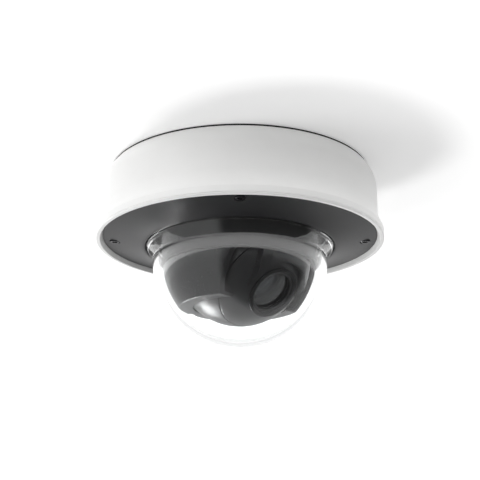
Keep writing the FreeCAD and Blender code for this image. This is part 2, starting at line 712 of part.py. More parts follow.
def build_pan_unit():
    """Turntable with its hub, retaining ring, yoke arms, bushes and shroud."""
    table = disc(skirt_inner - bearing_gap, turntable_top, turntable_bottom)
    groove_bottom = pan_base_top - bearing_gap
    groove_top = groove_bottom - retainer_thickness
    hub_top = groove_top - hub_groove_depth
    hub = disc(hub_radius, hub_top, turntable_top)
    groove = ring(hub_radius - hub_groove_depth, hub_radius, groove_top, groove_bottom)
    bore = disc(hub_radius - hub_wall - hub_groove_depth, hub_top, turntable_bottom)
    nodes["pan_turntable"] = table.fuse(hub).cut(groove).cut(bore).removeSplitter()
    nodes["pan_retainer"] = ring(hub_radius - hub_groove_depth + bearing_gap, hub_radius + retainer_width,
                                 groove_top + seat_gap, groove_bottom - seat_gap)

    bush_radius = tilt_pin_radius + running_gap + bush_wall
    arm_top = pivot_depth - turntable_bottom
    for side, name in ((-1, "left"), (1, "right")):
        low = min(side * arm_inner, side * arm_outer)
        arm = Part.makeBox(arm_width, arm_thickness, arm_top, Vec(-arm_width / 2, low, 0))
        foot = Part.makeCylinder(arm_width / 2, arm_thickness, Vec(0, low, 0), Vec(0, 1, 0))
        eye = Part.makeCylinder(bush_radius + seat_gap, arm_thickness, Vec(0, low, 0), Vec(0, 1, 0))
        bush = Part.makeCylinder(bush_radius, arm_thickness, Vec(0, low, 0), Vec(0, 1, 0))
        hole = Part.makeCylinder(tilt_pin_radius + running_gap, arm_thickness, Vec(0, low, 0), Vec(0, 1, 0))
        nodes["yoke_arm_" + name] = moved(arm.fuse(foot).cut(eye).removeSplitter(), pan_frame)
        nodes["tilt_bush_" + name] = moved(bush.cut(hole), pan_frame)
        pin_start = ball_radius - ball_wall - tilt_pin_inset
        start = pin_start if side > 0 else -arm_outer
        pin = Part.makeCylinder(tilt_pin_radius, arm_outer - pin_start, Vec(0, start, 0), Vec(0, 1, 0))
        nodes["tilt_pin_" + name] = moved(pin, pan_frame)

    top = pivot_depth - turntable_bottom + skirt_rise
    below_collar = -collar_reach - ring_gap
    zone = shell(shroud_inner, shroud_radius)
    zone = zone.cut(half_space(Vec(0, 0, 1), below_collar))
    zone = zone.cut(half_space(Vec(0, 0, -1), shroud_floor_drop))
    floor_top = shroud_floor_drop - shroud_floor_thickness
    floor_outer = on_sphere(shroud_inner, floor_top)
    floor_hole = on_sphere(ball_radius, shroud_floor_drop) + shroud_floor_gap
    floor_slope = on_sphere(ball_radius, floor_top) - on_sphere(ball_radius, shroud_floor_drop)
    floor = turned([(floor_hole + floor_slope, -floor_top), (floor_outer + post_root, -floor_top),
                    (on_sphere(shroud_inner, shroud_floor_drop) + post_root, -shroud_floor_drop),
                    (floor_hole, -shroud_floor_drop)])
    skirt_low = below_collar - skirt_wall
    skirt = turned([(skirt_inner, top), (skirt_radius, top), (skirt_radius, skirt_low), (skirt_inner, skirt_low)])
    shroud = zone.fuse(floor).fuse(skirt)
    opening_dip = math.radians(shroud_opening_dip)
    opening_normal = Vec(math.cos(opening_dip), 0, -math.sin(opening_dip))
    shroud = shroud.cut(half_space(opening_normal, shroud_opening_offset))
    nodes["shroud"] = moved(shroud.removeSplitter(), pan_frame)


# ---------------------------------------------------------------- tilt unit
def under_turntable(shape, reach):
    """Cut a tilting shape back, in the lens frame, so that it clears the turntable at any tilt."""
    for swing in (-tilt_down, (tilt_up - tilt_down) / 2, tilt_up):
        angle = math.radians(swing + 90.0 - lens_dip)
        shape = shape.cut(half_space(Vec(0, math.sin(angle), -math.cos(angle)), reach))
    return shape


def build_ball():
    """Ball shells, the brow over the lens, and the bracket that holds the lens unit."""
    window = rod(front_ring_radius + window_gap, 0, ball_radius)
    ball = shell(ball_radius - ball_wall, ball_radius)
    front = ball.common(half_space(Vec(0, 0, 1), ball_seam_offset + seam_gap)).cut(window)
    hollow = under_turntable(Part.makeSphere(ball_radius - ball_wall), headroom - ball_lid)
    rear = under_turntable(Part.makeSphere(ball_radius), headroom).cut(hollow)
    rear = rear.cut(half_space(Vec(0, 0, 1), ball_seam_offset - seam_gap))
    rear = rear.cut(rod(cable_hole_radius, -ball_radius, 0))
    axle_hole = Part.makeCylinder(tilt_pin_radius + seat_gap, 2 * ball_radius, Vec(-ball_radius, 0, 0),
                                  Vec(1, 0, 0))
    nodes["ball_front"] = moved(front, lens_frame)
    nodes["ball_rear"] = moved(rear.cut(axle_hole), lens_frame)

    drum = Part.makeCylinder(cowl_radius, 2 * cowl_half_width, Vec(0, -cowl_half_width, 0), Vec(0, 1, 0))
    brow = drum.common(Part.makeSphere(cowl_corner_radius)).cut(Part.makeSphere(ball_radius + seat_gap))
    brow = brow.cut(half_space(Vec(0, 0, 1), -cowl_roof_drop))
    brow = brow.cut(half_space(Vec(-1, 0, 0), -cowl_front))
    reach = 2 * ball_radius
    cone = Part.makeCone(0, reach * (front_ring_radius + cowl_lens_gap) / ring_back, reach)
    cone.Placement = FreeCAD.Placement(Vec(0, 0, 0), pan_frame.Rotation.inverted().multiply(lens_frame.Rotation))
    brow = brow.cut(cone)
    dip = math.radians(lens_dip)
    lens_local = Vec(math.cos(dip), 0, -math.sin(dip))
    lens_up_local = Vec(math.sin(dip), 0, math.cos(dip))
    brow = brow.cut(half_space(lens_up_local * -1, 0.0))
    brow = brow.cut(half_space(lens_local * -1, -ball_seam_offset))
    nodes["lens_brow"] = moved(max(brow.Solids, key=lambda solid: solid.Volume), pan_frame)

    bracket_front = module_plate_offset - bracket_gap
    bracket_back = bracket_front - bracket_thickness
    bracket_radius = on_sphere(ball_radius - ball_wall, bracket_front) - seam_gap
    bracket = tube(neck_radius + running_gap, bracket_radius, bracket_back, bracket_front)
    nodes["roll_bracket"] = moved(under_turntable(bracket, headroom - ball_lid - seam_gap), lens_frame)


# ---------------------------------------------------------------- lens unit
def build_lens_unit():
    """Roll unit: plate, barrel, front ring, glass, sensor, filter frame and motors."""
    plate_front = module_plate_offset + module_plate_thickness
    neck_back = module_plate_offset - bracket_thickness - 2 * bracket_gap
    board_front = neck_back - sensor_holder_length
    barrel_bore = barrel_radius - barrel_wall
    ring_front = ring_back + front_ring_length

    plate = rod(module_plate_radius, module_plate_offset, plate_front)
    neck = rod(neck_radius, neck_back, module_plate_offset)
    window = rod(light_path_radius, neck_back, plate_front)
    nodes["module_plate"] = moved(plate.fuse(neck).cut(window).removeSplitter(), lens_frame)
    nodes["sensor_holder"] = moved(tube(light_path_radius, neck_radius + sensor_holder_width,
                                             board_front, neck_back), lens_frame)
    half = sensor_board_side / 2
    board_back = board_front - sensor_board_thickness
    board = Part.makeBox(sensor_board_side, sensor_board_side, sensor_board_thickness, Vec(-half, -half, board_back))
    nodes["sensor_board"] = moved(board, lens_frame)
    side = sensor_side / 2
    sensor = Part.makeBox(sensor_side, sensor_side, sensor_thickness, Vec(-side, -side, board_front))
    nodes["image_sensor"] = moved(sensor, lens_frame)

    barrel_front = ring_back - front_ring_skirt
    barrel = tube(barrel_bore, barrel_radius, plate_front, barrel_front)
    nodes["lens_barrel"] = moved(barrel, lens_frame)
    glass_radius = barrel_radius - 1.0
    glass_edge = ring_back - cover_gap
    glass = turned([(0, barrel_front), (glass_radius, barrel_front), (glass_radius, glass_edge),
                    dome(glass_radius, glass_edge, front_glass_bulge)])
    nodes["front_glass"] = moved(glass, lens_frame)
    front_ring = turned([(barrel_radius - 0.9, barrel_front), (front_ring_radius - 1.2, barrel_front),
                         (front_ring_radius - 1.2, ring_back), (front_ring_radius, ring_back),
                         (front_ring_radius, ring_front - front_ring_chamfer),
                         (front_ring_radius - front_ring_chamfer, ring_front),
                         (front_ring_bore + 1.6, ring_front), (front_ring_bore + 0.2, ring_back + 1.0),
                         (barrel_radius - 0.9, ring_back - 0.1)])
    nodes["front_ring"] = moved(front_ring, lens_frame)

    frame_back = plate_front
    frame_front = frame_back + filter_frame_length
    frame = rod(barrel_bore - filter_gap, frame_back + seat_gap, frame_front)
    slot_half = filter_side / 2 + filter_gap
    reach = filter_side / 2 + filter_travel / 2 + part_gap
    slot_back = frame_front - filter_thickness - part_gap
    slot = Part.makeBox(2 * reach, 2 * slot_half, filter_frame_length, Vec(-reach, -slot_half, slot_back))
    light_hole = rod(filter_light_radius, frame_back, frame_front)
    nodes["filter_frame"] = moved(frame.cut(slot).cut(light_hole), lens_frame)
    left = -filter_side / 2 - filter_travel / 2
    pane = Part.makeBox(filter_side, filter_side, filter_thickness, Vec(left, -filter_side / 2, slot_back + filter_gap))
    nodes["filter_pane"] = moved(pane, lens_frame)

    centre_distance = gear_module * (ring_teeth + pinion_teeth) / 2
    trains = (("zoom", zoom_ring_offset, 90.0, zoom_group_offset),
              ("focus", focus_ring_offset, 270.0, focus_group_offset))
    for name, offset, bearing, face in trains:
        angle = math.radians(bearing)
        x = centre_distance * math.cos(angle)
        y = centre_distance * math.sin(angle)
        teeth = gear(ring_teeth, ring_addendum, gear_dedendum, offset, offset + gear_face, angle)
        bore = rod(barrel_radius + running_gap, offset, offset + gear_face)
        nodes[name + "_ring"] = moved(teeth.cut(bore), lens_frame)
        pinion = gear(pinion_teeth, pinion_addendum, gear_dedendum, offset, offset + gear_face, angle)
        pinion.translate(Vec(x, y, 0))
        shaft = rod(motor_shaft_radius, offset - motor_shaft_length, offset, x, y)
        nodes[name + "_pinion"] = moved(pinion.fuse(shaft).removeSplitter(), lens_frame)
        motor_front = offset - motor_gap
        motor = rod(motor_radius, plate_front, motor_front, x, y)
        socket = rod(motor_shaft_radius + running_gap, offset - motor_shaft_length - ring_gap, motor_front, x, y)
        nodes[name + "_motor"] = moved(motor.cut(socket), lens_frame)
        radius = barrel_bore - lens_bore_gap
        edge = face + lens_group_length
        group = turned([(0, face), (radius, face), (radius, edge), (lens_group_radius, edge),
                        dome(lens_group_radius, edge, lens_group_bulge)])
        nodes[name + "_lens_group"] = moved(group, lens_frame)


build_mounting()
build_housing()
build_electronics()
build_cover()
build_pan_base()
build_pan_unit()
build_ball()
build_lens_unit()

os.makedirs("parts", exist_ok=True)
for node_name, node_shape in nodes.items():
    node_shape.exportStep("parts/" + node_name + ".step")
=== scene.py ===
"""Looks of a ceiling dome camera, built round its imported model.  Metres, +Z up, ceiling at z = 0."""
import sys
import json
import logging
import math
from dataclasses import dataclass, field
from enum import Enum

import bmesh
import bpy
import numpy as np
from mathutils import Matrix, Vector


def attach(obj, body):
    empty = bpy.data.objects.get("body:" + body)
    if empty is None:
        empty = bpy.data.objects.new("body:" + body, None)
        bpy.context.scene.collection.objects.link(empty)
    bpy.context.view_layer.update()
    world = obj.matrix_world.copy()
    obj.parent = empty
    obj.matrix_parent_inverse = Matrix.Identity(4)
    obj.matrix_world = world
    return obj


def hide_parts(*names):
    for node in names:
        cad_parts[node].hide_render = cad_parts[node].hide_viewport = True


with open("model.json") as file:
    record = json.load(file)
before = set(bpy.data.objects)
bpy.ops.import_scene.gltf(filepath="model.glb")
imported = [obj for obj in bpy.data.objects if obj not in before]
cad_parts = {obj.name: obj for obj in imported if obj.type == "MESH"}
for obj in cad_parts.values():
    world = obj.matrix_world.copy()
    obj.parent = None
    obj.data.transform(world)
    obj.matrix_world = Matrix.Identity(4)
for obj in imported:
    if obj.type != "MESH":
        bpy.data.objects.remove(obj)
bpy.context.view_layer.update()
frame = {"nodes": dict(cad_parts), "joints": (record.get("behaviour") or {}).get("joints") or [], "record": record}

MM = 0.001
FILM_IOR = 1.38
FULL_TURN = 2 * math.pi
LOG = logging.getLogger("dome_camera")
Array = np.ndarray
Corner = tuple[float, float]


# ------------------------------------------------------------------ numbers from the frame
def joint(name: str) -> dict:
    """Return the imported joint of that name."""
    return next(j for j in frame["joints"] if j["name"] == name)


@dataclass(frozen=True)
class Seat:
    """A local frame: where a piece's own axes lie in the camera's frame (millimetres)."""

    origin: tuple[float, float, float] = (0.0, 0.0, 0.0)
    across: tuple[float, float, float] = (1.0, 0.0, 0.0)
    along: tuple[float, float, float] = (0.0, 0.0, 1.0)

    def matrix(self) -> Array:
        """Return the 4 by 4 matrix from the local frame to the camera's frame."""
        z = np.array(self.along, float)
        z /= np.linalg.norm(z)
        x = np.array(self.across, float)
        x -= z * (x @ z)
        x /= np.linalg.norm(x)
        made = np.eye(4)
        made[:3, 0], made[:3, 1], made[:3, 2], made[:3, 3] = x, np.cross(z, x), z, self.origin
        return made

    def place(self, points: Array) -> Array:
        """Carry points from the local frame to the camera's frame.

        Args:
            points: N by 3 array in millimetres.
        Returns:
            The same points in the camera's frame, in millimetres.
        """
        made = self.matrix()
        return points @ made[:3, :3].T + made[:3, 3]


PIVOT = tuple(v / MM for v in joint("tilt_turn")["pos_m"])
TILT_AXIS = tuple(joint("tilt_turn")["axis"])
LENS_AXIS = tuple(joint("roll_turn")["axis"])
HEADING = tuple(np.cross(TILT_AXIS, (0.0, 0.0, 1.0)))
ROOM = Seat()
BALL = Seat(origin=PIVOT, across=HEADING)
LENS = Seat(origin=PIVOT, across=TILT_AXIS, along=LENS_AXIS)


# ------------------------------------------------------------------ outlines
def rounded(corners: list[tuple[float, ...]], steps: int = 5) -> Array:
    """Round the corners of an outline.

    Each corner is (r, z) or (r, z, radius).  A corner with a radius becomes the circle arc
    that is tangent to both its sides: it starts radius / tan(half angle) before the corner.

    Args:
        corners: the outline's corners in order, in millimetres.
        steps: straight pieces in each arc.
    Returns:
        N by 2 array of points along the rounded outline.
    """
    made: list[Array] = []
    count = len(corners)
    for k, corner in enumerate(corners):
        here = np.array(corner[:2], float)
        radius = corner[2] if len(corner) > 2 else 0.0
        before = np.array(corners[k - 1][:2], float) - here
        after = np.array(corners[(k + 1) % count][:2], float) - here
        if radius <= 0.0:
            made.append(here[None, :])
            continue
        before /= np.linalg.norm(before)
        after /= np.linalg.norm(after)
        half = 0.5 * math.acos(float(np.clip(before @ after, -1.0, 1.0)))
        reach = radius / math.tan(half)
        middle = before + after
        middle /= np.linalg.norm(middle)
        centre = here + middle * radius / math.sin(half)
        start = here + before * reach - centre
        end = here + after * reach - centre
        first = math.atan2(start[1], start[0])
        sweep = (math.atan2(end[1], end[0]) - first + math.pi) % FULL_TURN - math.pi
        angles = first + sweep * np.linspace(0.0, 1.0, steps + 1)
        made.append(centre + radius * np.stack([np.cos(angles), np.sin(angles)], axis=1))
    return np.concatenate(made)


def arc(centre: Corner, radius: float, first: float, last: float, steps: int = 48) -> Array:
    """Sample a circle's arc: centre plus radius times (cosine, sine) from first to last degrees."""
    angles = np.radians(np.linspace(first, last, steps + 1))
    return np.stack([centre[0] + radius * np.cos(angles), centre[1] + radius * np.sin(angles)], axis=1)


def latitude(height: float, radius: float) -> float:
    """Return the angle in degrees at which a circle of that radius reaches a height."""
    return math.degrees(math.asin(height / radius))


def bowed(start: Corner, end: Corner, sag: float, steps: int = 16) -> Array:
    """Sample a shallow bow from start to end: the chord plus 4 t (1 - t) sag along its left normal."""
    t = np.linspace(0.0, 1.0, steps + 1)[:, None]
    chord = np.array(end, float) - np.array(start, float)
    normal = np.array([-chord[1], chord[0]]) / np.linalg.norm(chord)
    return np.array(start) + chord * t + normal * (4 * t * (1 - t) * sag)


def joined(*runs: Array) -> Array:
    """Join runs of points end to end, leaving out points that repeat."""
    points = np.concatenate([np.atleast_2d(run) for run in runs])
    keep = np.ones(len(points), bool)
    keep[1:] = np.linalg.norm(np.diff(points, axis=0), axis=1) > 1e-5
    return points[keep]


# ------------------------------------------------------------------ meshes
def make_piece(name: str, points: Array, faces: Array | list, seat: Seat = ROOM) -> bpy.types.Object:
    """Make an object from points in millimetres, with closed poles and faces outward.

    Args:
        name: the piece's name.
        points: N by 3 array in the seat's frame.
        faces: rows of point numbers.
        seat: where the piece's own axes lie.
    Returns:
        The linked object, at the origin, with its place in its mesh.
    """
    mesh = bpy.data.meshes.new(name)
    mesh.from_pydata((seat.place(points) * MM).tolist(), [], [list(face) for face in faces])
    made = bmesh.new()
    made.from_mesh(mesh)
    bmesh.ops.remove_doubles(made, verts=made.verts, dist=1e-7)
    bmesh.ops.dissolve_degenerate(made, edges=made.edges, dist=1e-8)
    bmesh.ops.recalc_face_normals(made, faces=made.faces)
    made.to_mesh(mesh)
    made.free()
    piece = bpy.data.objects.new(name, mesh)
    bpy.context.scene.collection.objects.link(piece)
    smooth(piece)
    return piece


def smooth(piece: bpy.types.Object, angle: float = 38.0) -> None:
    """Shade a piece smoothly, with edges sharper than the angle (degrees) kept crisp."""
    piece.data.shade_smooth()
    piece.data.set_sharp_from_angle(angle=math.radians(angle))


def lathe(name: str, profile: Array, seat: Seat = ROOM, segments: int = 160, lobes: Array | None = None,
          lobe_count: int = 6, lobe_depth: float = 0.0, closed: bool = True) -> bpy.types.Object:
    """Turn a profile about the seat's axis.

    A point at profile (r, z) and angle a lies at (r cos a, r sin a, z).  Where lobes is not
    zero, r is multiplied by 1 + lobes x lobe_depth x cos(lobe_count a), which turns a round
    hole into a lobed one.

    Args:
        name: the piece's name.
        profile: N by 2 array of (r, z) in millimetres.
        seat: the axis that it turns about.
        segments: steps round the axis.
        lobes: weight of the lobes at each profile point, or None.
        lobe_count: lobes in a turn.
        lobe_depth: share of the radius.
        closed: whether the profile's last point joins its first.
    Returns:
        The turned piece.
    """
    angles = np.linspace(0.0, FULL_TURN, segments, endpoint=False)
    radius = np.repeat(profile[:, :1], segments, axis=1)
    if lobes is not None:
        radius = radius * (1.0 + lobe_depth * lobes[:, None] * np.cos(lobe_count * angles)[None, :])
    height = np.repeat(profile[:, 1:], segments, axis=1)
    points = np.stack([radius * np.cos(angles), radius * np.sin(angles), height], axis=2).reshape(-1, 3)
    rows = len(profile)
    last = rows if closed else rows - 1
    row = np.arange(last)[:, None]
    step = np.arange(segments)[None, :]
    after_row = (row + 1) % rows
    after_step = (step + 1) % segments
    faces = np.stack([row * segments + step, row * segments + after_step,
                      after_row * segments + after_step, after_row * segments + step], axis=2)
    return make_piece(name, points, faces.reshape(-1, 4), seat)


def block(name: str, low: tuple[float, float, float], high: tuple[float, float, float],
          seat: Seat = ROOM) -> bpy.types.Object:
    """Make a plain box between two corners (millimetres), as a cutter."""
    x, y, z = np.meshgrid(*[np.array(pair, float) for pair in zip(low, high)], indexing="ij")
    points = np.stack([x, y, z], axis=3).reshape(-1, 3)
    faces = [(0, 1, 3, 2), (4, 6, 7, 5), (0, 4, 5, 1), (2, 3, 7, 6), (0, 2, 6, 4), (1, 5, 7, 3)]
    return make_piece(name, points, faces, seat)


def beyond(normal: Array, offset: float, seat: Seat, size: float = 160.0) -> bpy.types.Object:
    """Make a large cutter that fills the side of a plane that its normal points to.

    Args:
        normal: the plane's normal in the seat's frame.
        offset: distance of the plane from the seat's origin, in millimetres.
        seat: the frame of the normal.
        size: side of the cutter, in millimetres.
    Returns:
        The cutter.
    """
    turn = seat.matrix()
    along = turn[:3, :3] @ (np.array(normal, float) / np.linalg.norm(normal))
    origin = turn[:3, 3] + along * offset
    across = np.cross(along, (0.3, 0.5, 0.81))
    own = Seat(origin=tuple(origin), across=tuple(across), along=tuple(along))
    half = size / 2
    return block("cutter", (-half, -half, 0.0), (half, half, size), own)


def carve(piece: bpy.types.Object, cutters: list[bpy.types.Object], bevel: float = 0.0,
          operation: str = "DIFFERENCE", segments: int = 3) -> bpy.types.Object:
    """Cut closed shapes out of a piece, soften the new edges and delete the cutters.

    Args:
        piece: the piece to cut.
        cutters: closed shapes.
        bevel: width of the rounding on sharp edges, in millimetres.
        operation: Boolean operation's name.
        segments: steps across the rounding.
    Returns:
        The same piece with its new mesh.
    """
    for cutter in cutters:
        modifier = piece.modifiers.new("cut", "BOOLEAN")
        modifier.operation = operation
        modifier.solver = "EXACT"
        modifier.object = cutter
    if bevel > 0.0:
        modifier = piece.modifiers.new("soften", "BEVEL")
        modifier.width = bevel * MM
        modifier.segments = segments
        modifier.limit_method = "ANGLE"
        modifier.angle_limit = math.radians(32.0)
        modifier.use_clamp_overlap = True
    graph = bpy.context.evaluated_depsgraph_get()
    mesh = bpy.data.meshes.new_from_object(piece.evaluated_get(graph))
    piece.modifiers.clear()
    piece.data = mesh
    smooth(piece)
    for cutter in cutters:
        bpy.data.objects.remove(cutter)
    return piece


def drills(outline: list[Corner], places: list[Corner], segments: int = 40) -> list[bpy.types.Object]:
    """Make the same upright drill, turned from its outline of (r, z), at each place across."""
    return [lathe("cutter", np.array(outline), Seat(origin=(x, y, 0.0)), segments, closed=False) for x, y in places]


def merged(name: str, pieces: list[bpy.types.Object]) -> bpy.types.Object:
    """Join several objects' meshes into one new object and delete the originals."""
    made = bmesh.new()
    for piece in pieces:
        made.from_mesh(piece.data)
    mesh = bpy.data.meshes.new(name)
    made.to_mesh(mesh)
    made.free()
    for piece in pieces:
        bpy.data.objects.remove(piece)
    whole = bpy.data.objects.new(name, mesh)
    bpy.context.scene.collection.objects.link(whole)
    smooth(whole)
    return whole


def round_places(radius: float, count: int, first: float = 0.0) -> list[Corner]:
    """Return evenly spaced points on a circle, from a first angle in degrees."""
    angles = np.radians(first + 360.0 * np.arange(count) / count)
    return [(float(radius * np.cos(a)), float(radius * np.sin(a))) for a in angles]


# ------------------------------------------------------------------ materials
def linear(code: str, alpha: float = 1.0) -> tuple[float, float, float, float]:
    """Turn an sRGB hex colour such as "#1d1d1f" into linear red, green, blue and alpha."""
    values = np.array([int(code[k:k + 2], 16) for k in (1, 3, 5)]) / 255.0
    light = np.where(values <= 0.04045, values / 12.92, ((values + 0.055) / 1.055) ** 2.4)
    return (*[float(v) for v in light], alpha)


def empty_tree(owner: bpy.types.Material | bpy.types.World) -> bpy.types.NodeTree:
    """Turn a material's or the world's nodes on and return its tree, emptied."""
    owner.use_nodes = True
    owner.node_tree.nodes.clear()
    return owner.node_tree


def add_node(tree: bpy.types.NodeTree, kind: str, settings: dict | None = None,
             inputs: dict | None = None) -> bpy.types.Node:
    """Add a shader node with its settings, socket values and links.

    Args:
        tree: the material's node tree.
        kind: the node's type name without its ShaderNode prefix.
        settings: attribute names and values.
        inputs: socket names or numbers, with a value or an output socket to link from.
    Returns:
        The new node.
    """
    node = tree.nodes.new("ShaderNode" + kind)
    for name, value in (settings or {}).items():
        setattr(node, name, value)
    for name, value in (inputs or {}).items():
        if isinstance(value, bpy.types.NodeSocket):
            tree.links.new(value, node.inputs[name])
        else:
            node.inputs[name].default_value = value
    return node


class Pattern(Enum):
    """How a finish's relief is laid over the surface."""

    GRAIN = "even grain in all directions"
    TURNED = "rings round the lens axis"
    ROLLED = "fine lines along one direction"


@dataclass(frozen=True)
class Finish:
    """An opaque surface: its colour, gloss and relief.

    grain and relief are the width and depth of the surface's texture, and patch the size of the
    soft patches in which the colour drifts between its two hex values, all in millimetres.
    """

    name: str
    colour: str
    second: str
    roughness: float
    metallic: float = 0.0
    ior: float = 1.5
    grain: float = 0.5
    relief: float = 0.004
    patch: float = 14.0
    gloss_drift: float = 0.05
    coat: float = 0.0
    coat_roughness: float = 0.1
    specular: float = 0.5
    sheen: float = 0.0
    pattern: Pattern = Pattern.GRAIN

    def material(self) -> bpy.types.Material:
        """Build the node material, or return the one already built."""
        known = bpy.data.materials.get(self.name)
        if known:
            return known
        made = bpy.data.materials.new(self.name)
        tree = empty_tree(made)
        place = add_node(tree, "TexCoord").outputs["Object"]
        patches = add_node(tree, "TexNoise", inputs={"Vector": place, "Scale": 1.0 / (self.patch * MM),
                                                     "Detail": 3.0, "Roughness": 0.55})
        height = self.height(tree, place)
        colour = add_node(tree, "MixRGB", inputs={"Fac": patches.outputs["Fac"], "Color1": linear(self.colour),
                                                  "Color2": linear(self.second)})
        low = max(0.02, self.roughness - self.gloss_drift)
        gloss = add_node(tree, "MapRange", inputs={"Value": height, "From Min": 0.25, "From Max": 0.75,
                                                   "To Min": low, "To Max": self.roughness + self.gloss_drift})
        bump = add_node(tree, "Bump", inputs={"Strength": 1.0, "Distance": self.relief * MM, "Height": height})
        shader = add_node(tree, "BsdfPrincipled", inputs={
            "Base Color": colour.outputs["Color"], "Roughness": gloss.outputs["Result"],
            "Metallic": self.metallic, "IOR": self.ior, "Normal": bump.outputs["Normal"],
            "Coat Weight": self.coat, "Coat Roughness": self.coat_roughness, "Sheen Weight": self.sheen,
            "Specular IOR Level": self.specular})
        add_node(tree, "OutputMaterial", inputs={"Surface": shader.outputs["BSDF"]})
        return made

    def height(self, tree: bpy.types.NodeTree, place: bpy.types.NodeSocket) -> bpy.types.NodeSocket:
        """Return the socket of the relief's height, from 0 to 1.

        Args:
            tree: the material's node tree.
            place: object coordinates.
        Returns:
            An output socket.
        """
        if self.pattern is Pattern.GRAIN:
            return add_node(tree, "TexNoise", inputs={"Vector": place, "Scale": 1.0 / (self.grain * MM),
                                                      "Detail": 2.0, "Roughness": 0.6}).outputs["Fac"]
        if self.pattern is Pattern.ROLLED:
            stretched = add_node(tree, "Mapping", inputs={"Vector": place, "Scale": (1.0, 0.03, 1.0)})
            return add_node(tree, "TexNoise", inputs={"Vector": stretched.outputs["Vector"],
                                                      "Scale": 1.0 / (self.grain * MM),
                                                      "Detail": 3.0, "Roughness": 0.6}).outputs["Fac"]
        turn = Matrix(LENS.matrix().tolist()).to_3x3().transposed().to_euler()
        centred = add_node(tree, "VectorMath", {"operation": "SUBTRACT"},
                           {0: place, 1: tuple(v * MM for v in PIVOT)})
        own = add_node(tree, "Mapping", inputs={"Vector": centred.outputs["Vector"], "Rotation": tuple(turn)})
        return add_node(tree, "TexWave", {"wave_type": "RINGS", "rings_direction": "Z"},
                        {"Vector": own.outputs["Vector"], "Scale": 1.0 / (self.grain * MM * 20.0),
                         "Distortion": 0.4, "Detail": 1.0}).outputs["Fac"]


@dataclass(frozen=True)
class Clear:
    """A see-through surface: moulded plastic or optical glass.  film is a coating's thickness in nanometres."""

    name: str
    colour: str
    ior: float
    film: float = 0.0
    roughness: float = 0.0

    def material(self) -> bpy.types.Material:
        """Build the node material, or return the one already built."""
        known = bpy.data.materials.get(self.name)
        if known:
            return known
        made = bpy.data.materials.new(self.name)
        tree = empty_tree(made)
        shader = add_node(tree, "BsdfPrincipled", inputs={
            "Base Color": linear(self.colour), "Roughness": self.roughness, "IOR": self.ior,
            "Transmission Weight": 1.0, "Thin Film Thickness": self.film, "Thin Film IOR": FILM_IOR})
        add_node(tree, "OutputMaterial", inputs={"Surface": shader.outputs["BSDF"]})
        return made


# Polyester powder coat on die-cast aluminium, white: a soft satin with a faint orange peel.
WHITE_COAT = Finish("white_powder_coat_satin", "#f1f1f0", "#ececeb", 0.42, grain=1.6, relief=0.006, gloss_drift=0.04)
# The same coat on the thin rim, sprayed a little finer.
RIM_COAT = Finish("white_powder_coat_rim", "#f1f1f0", "#ededec", 0.38, grain=1.2, relief=0.005, gloss_drift=0.04)
# Fine-texture black powder coat on the cover: grit of about half a millimetre breaks the gloss.
BLACK_COAT = Finish("black_powder_coat_fine_texture", "#202022", "#1b1b1d", 0.36, grain=0.45, relief=0.010,
                    gloss_drift=0.05, specular=0.22)
# Injection-moulded ABS with a light spark texture, for the collar and base.
BLACK_TRIM = Finish("abs_black_spark_texture", "#1f1f21", "#1a1a1c", 0.55, grain=0.35, relief=0.006, specular=0.3)
# Injection-moulded polycarbonate blend with a polished tool: the shroud reflects lamps as soft blobs.
BLACK_SATIN = Finish("pc_abs_black_semi_gloss", "#1c1c1e", "#18181a", 0.30, grain=0.9, relief=0.003, gloss_drift=0.04)
# The ball's shells, a slightly duller mould finish.
BALL_BLACK = Finish("pc_abs_black_satin", "#1e1e20", "#1a1a1c", 0.33, grain=0.7, relief=0.003, gloss_drift=0.05,
                    specular=0.8)
# Black anodised aluminium, turned on a lathe: fine rings catch the light.
LENS_RING = Finish("aluminium_black_anodised_turned", "#2e2e30", "#28282a", 0.34, metallic=0.7, grain=0.35,
                   relief=0.004, pattern=Pattern.TURNED)
# Flocked or matte black paint inside the barrel: almost no reflection.
BAFFLE = Finish("barrel_black_matte_paint", "#111112", "#0d0d0e", 0.75, grain=0.3, relief=0.006)
# Electro-galvanised sheet steel, rolled: bright with faint lines along the sheet.
ZINC_SHEET = Finish("steel_sheet_zinc_plated", "#b9bcc0", "#a9adb2", 0.36, metallic=1.0, grain=0.5, relief=0.004,
                    patch=9.0, pattern=Pattern.ROLLED)
# Closed-cell EPDM foam gasket.
FOAM = Finish("epdm_foam_black", "#222223", "#1a1a1b", 0.9, grain=0.8, relief=0.08, gloss_drift=0.03)
# Moulded silicone rubber of the gland and gaskets.
RUBBER = Finish("silicone_rubber_black", "#1d1d1e", "#19191a", 0.62, grain=0.5, relief=0.008, sheen=0.1)
# Stainless steel, black oxide: dark with a low metallic gloss.
BLACK_SCREW = Finish("stainless_screw_black_oxide", "#38383a", "#2d2d2f", 0.32, metallic=0.9, grain=0.3, relief=0.004)
# Bright zinc or nickel on small screws.
BRIGHT_SCREW = Finish("steel_screw_bright_zinc", "#c4c6c8", "#b4b6b9", 0.28, metallic=1.0, grain=0.3, relief=0.003)
# Plain machined aluminium of the clamp ring.
ALUMINIUM = Finish("aluminium_plain_machined", "#c6c8ca", "#b8babd", 0.34, metallic=1.0, grain=0.4, relief=0.004)
# Black anodised cast aluminium inside.
ANODISED = Finish("aluminium_black_anodised_plain", "#2a2a2c", "#232325", 0.45, metallic=0.6, grain=0.4, relief=0.005)
# Glass-filled nylon mouldings inside.
NYLON = Finish("nylon_black_glass_filled", "#262627", "#202021", 0.55, grain=0.5, relief=0.008)
# Solder mask over copper on epoxy board: green with a wet gloss.
SOLDER_MASK = Finish("epoxy_board_green_solder_mask", "#1f5a35", "#184a2b", 0.30, grain=0.6, relief=0.01, coat=0.3)
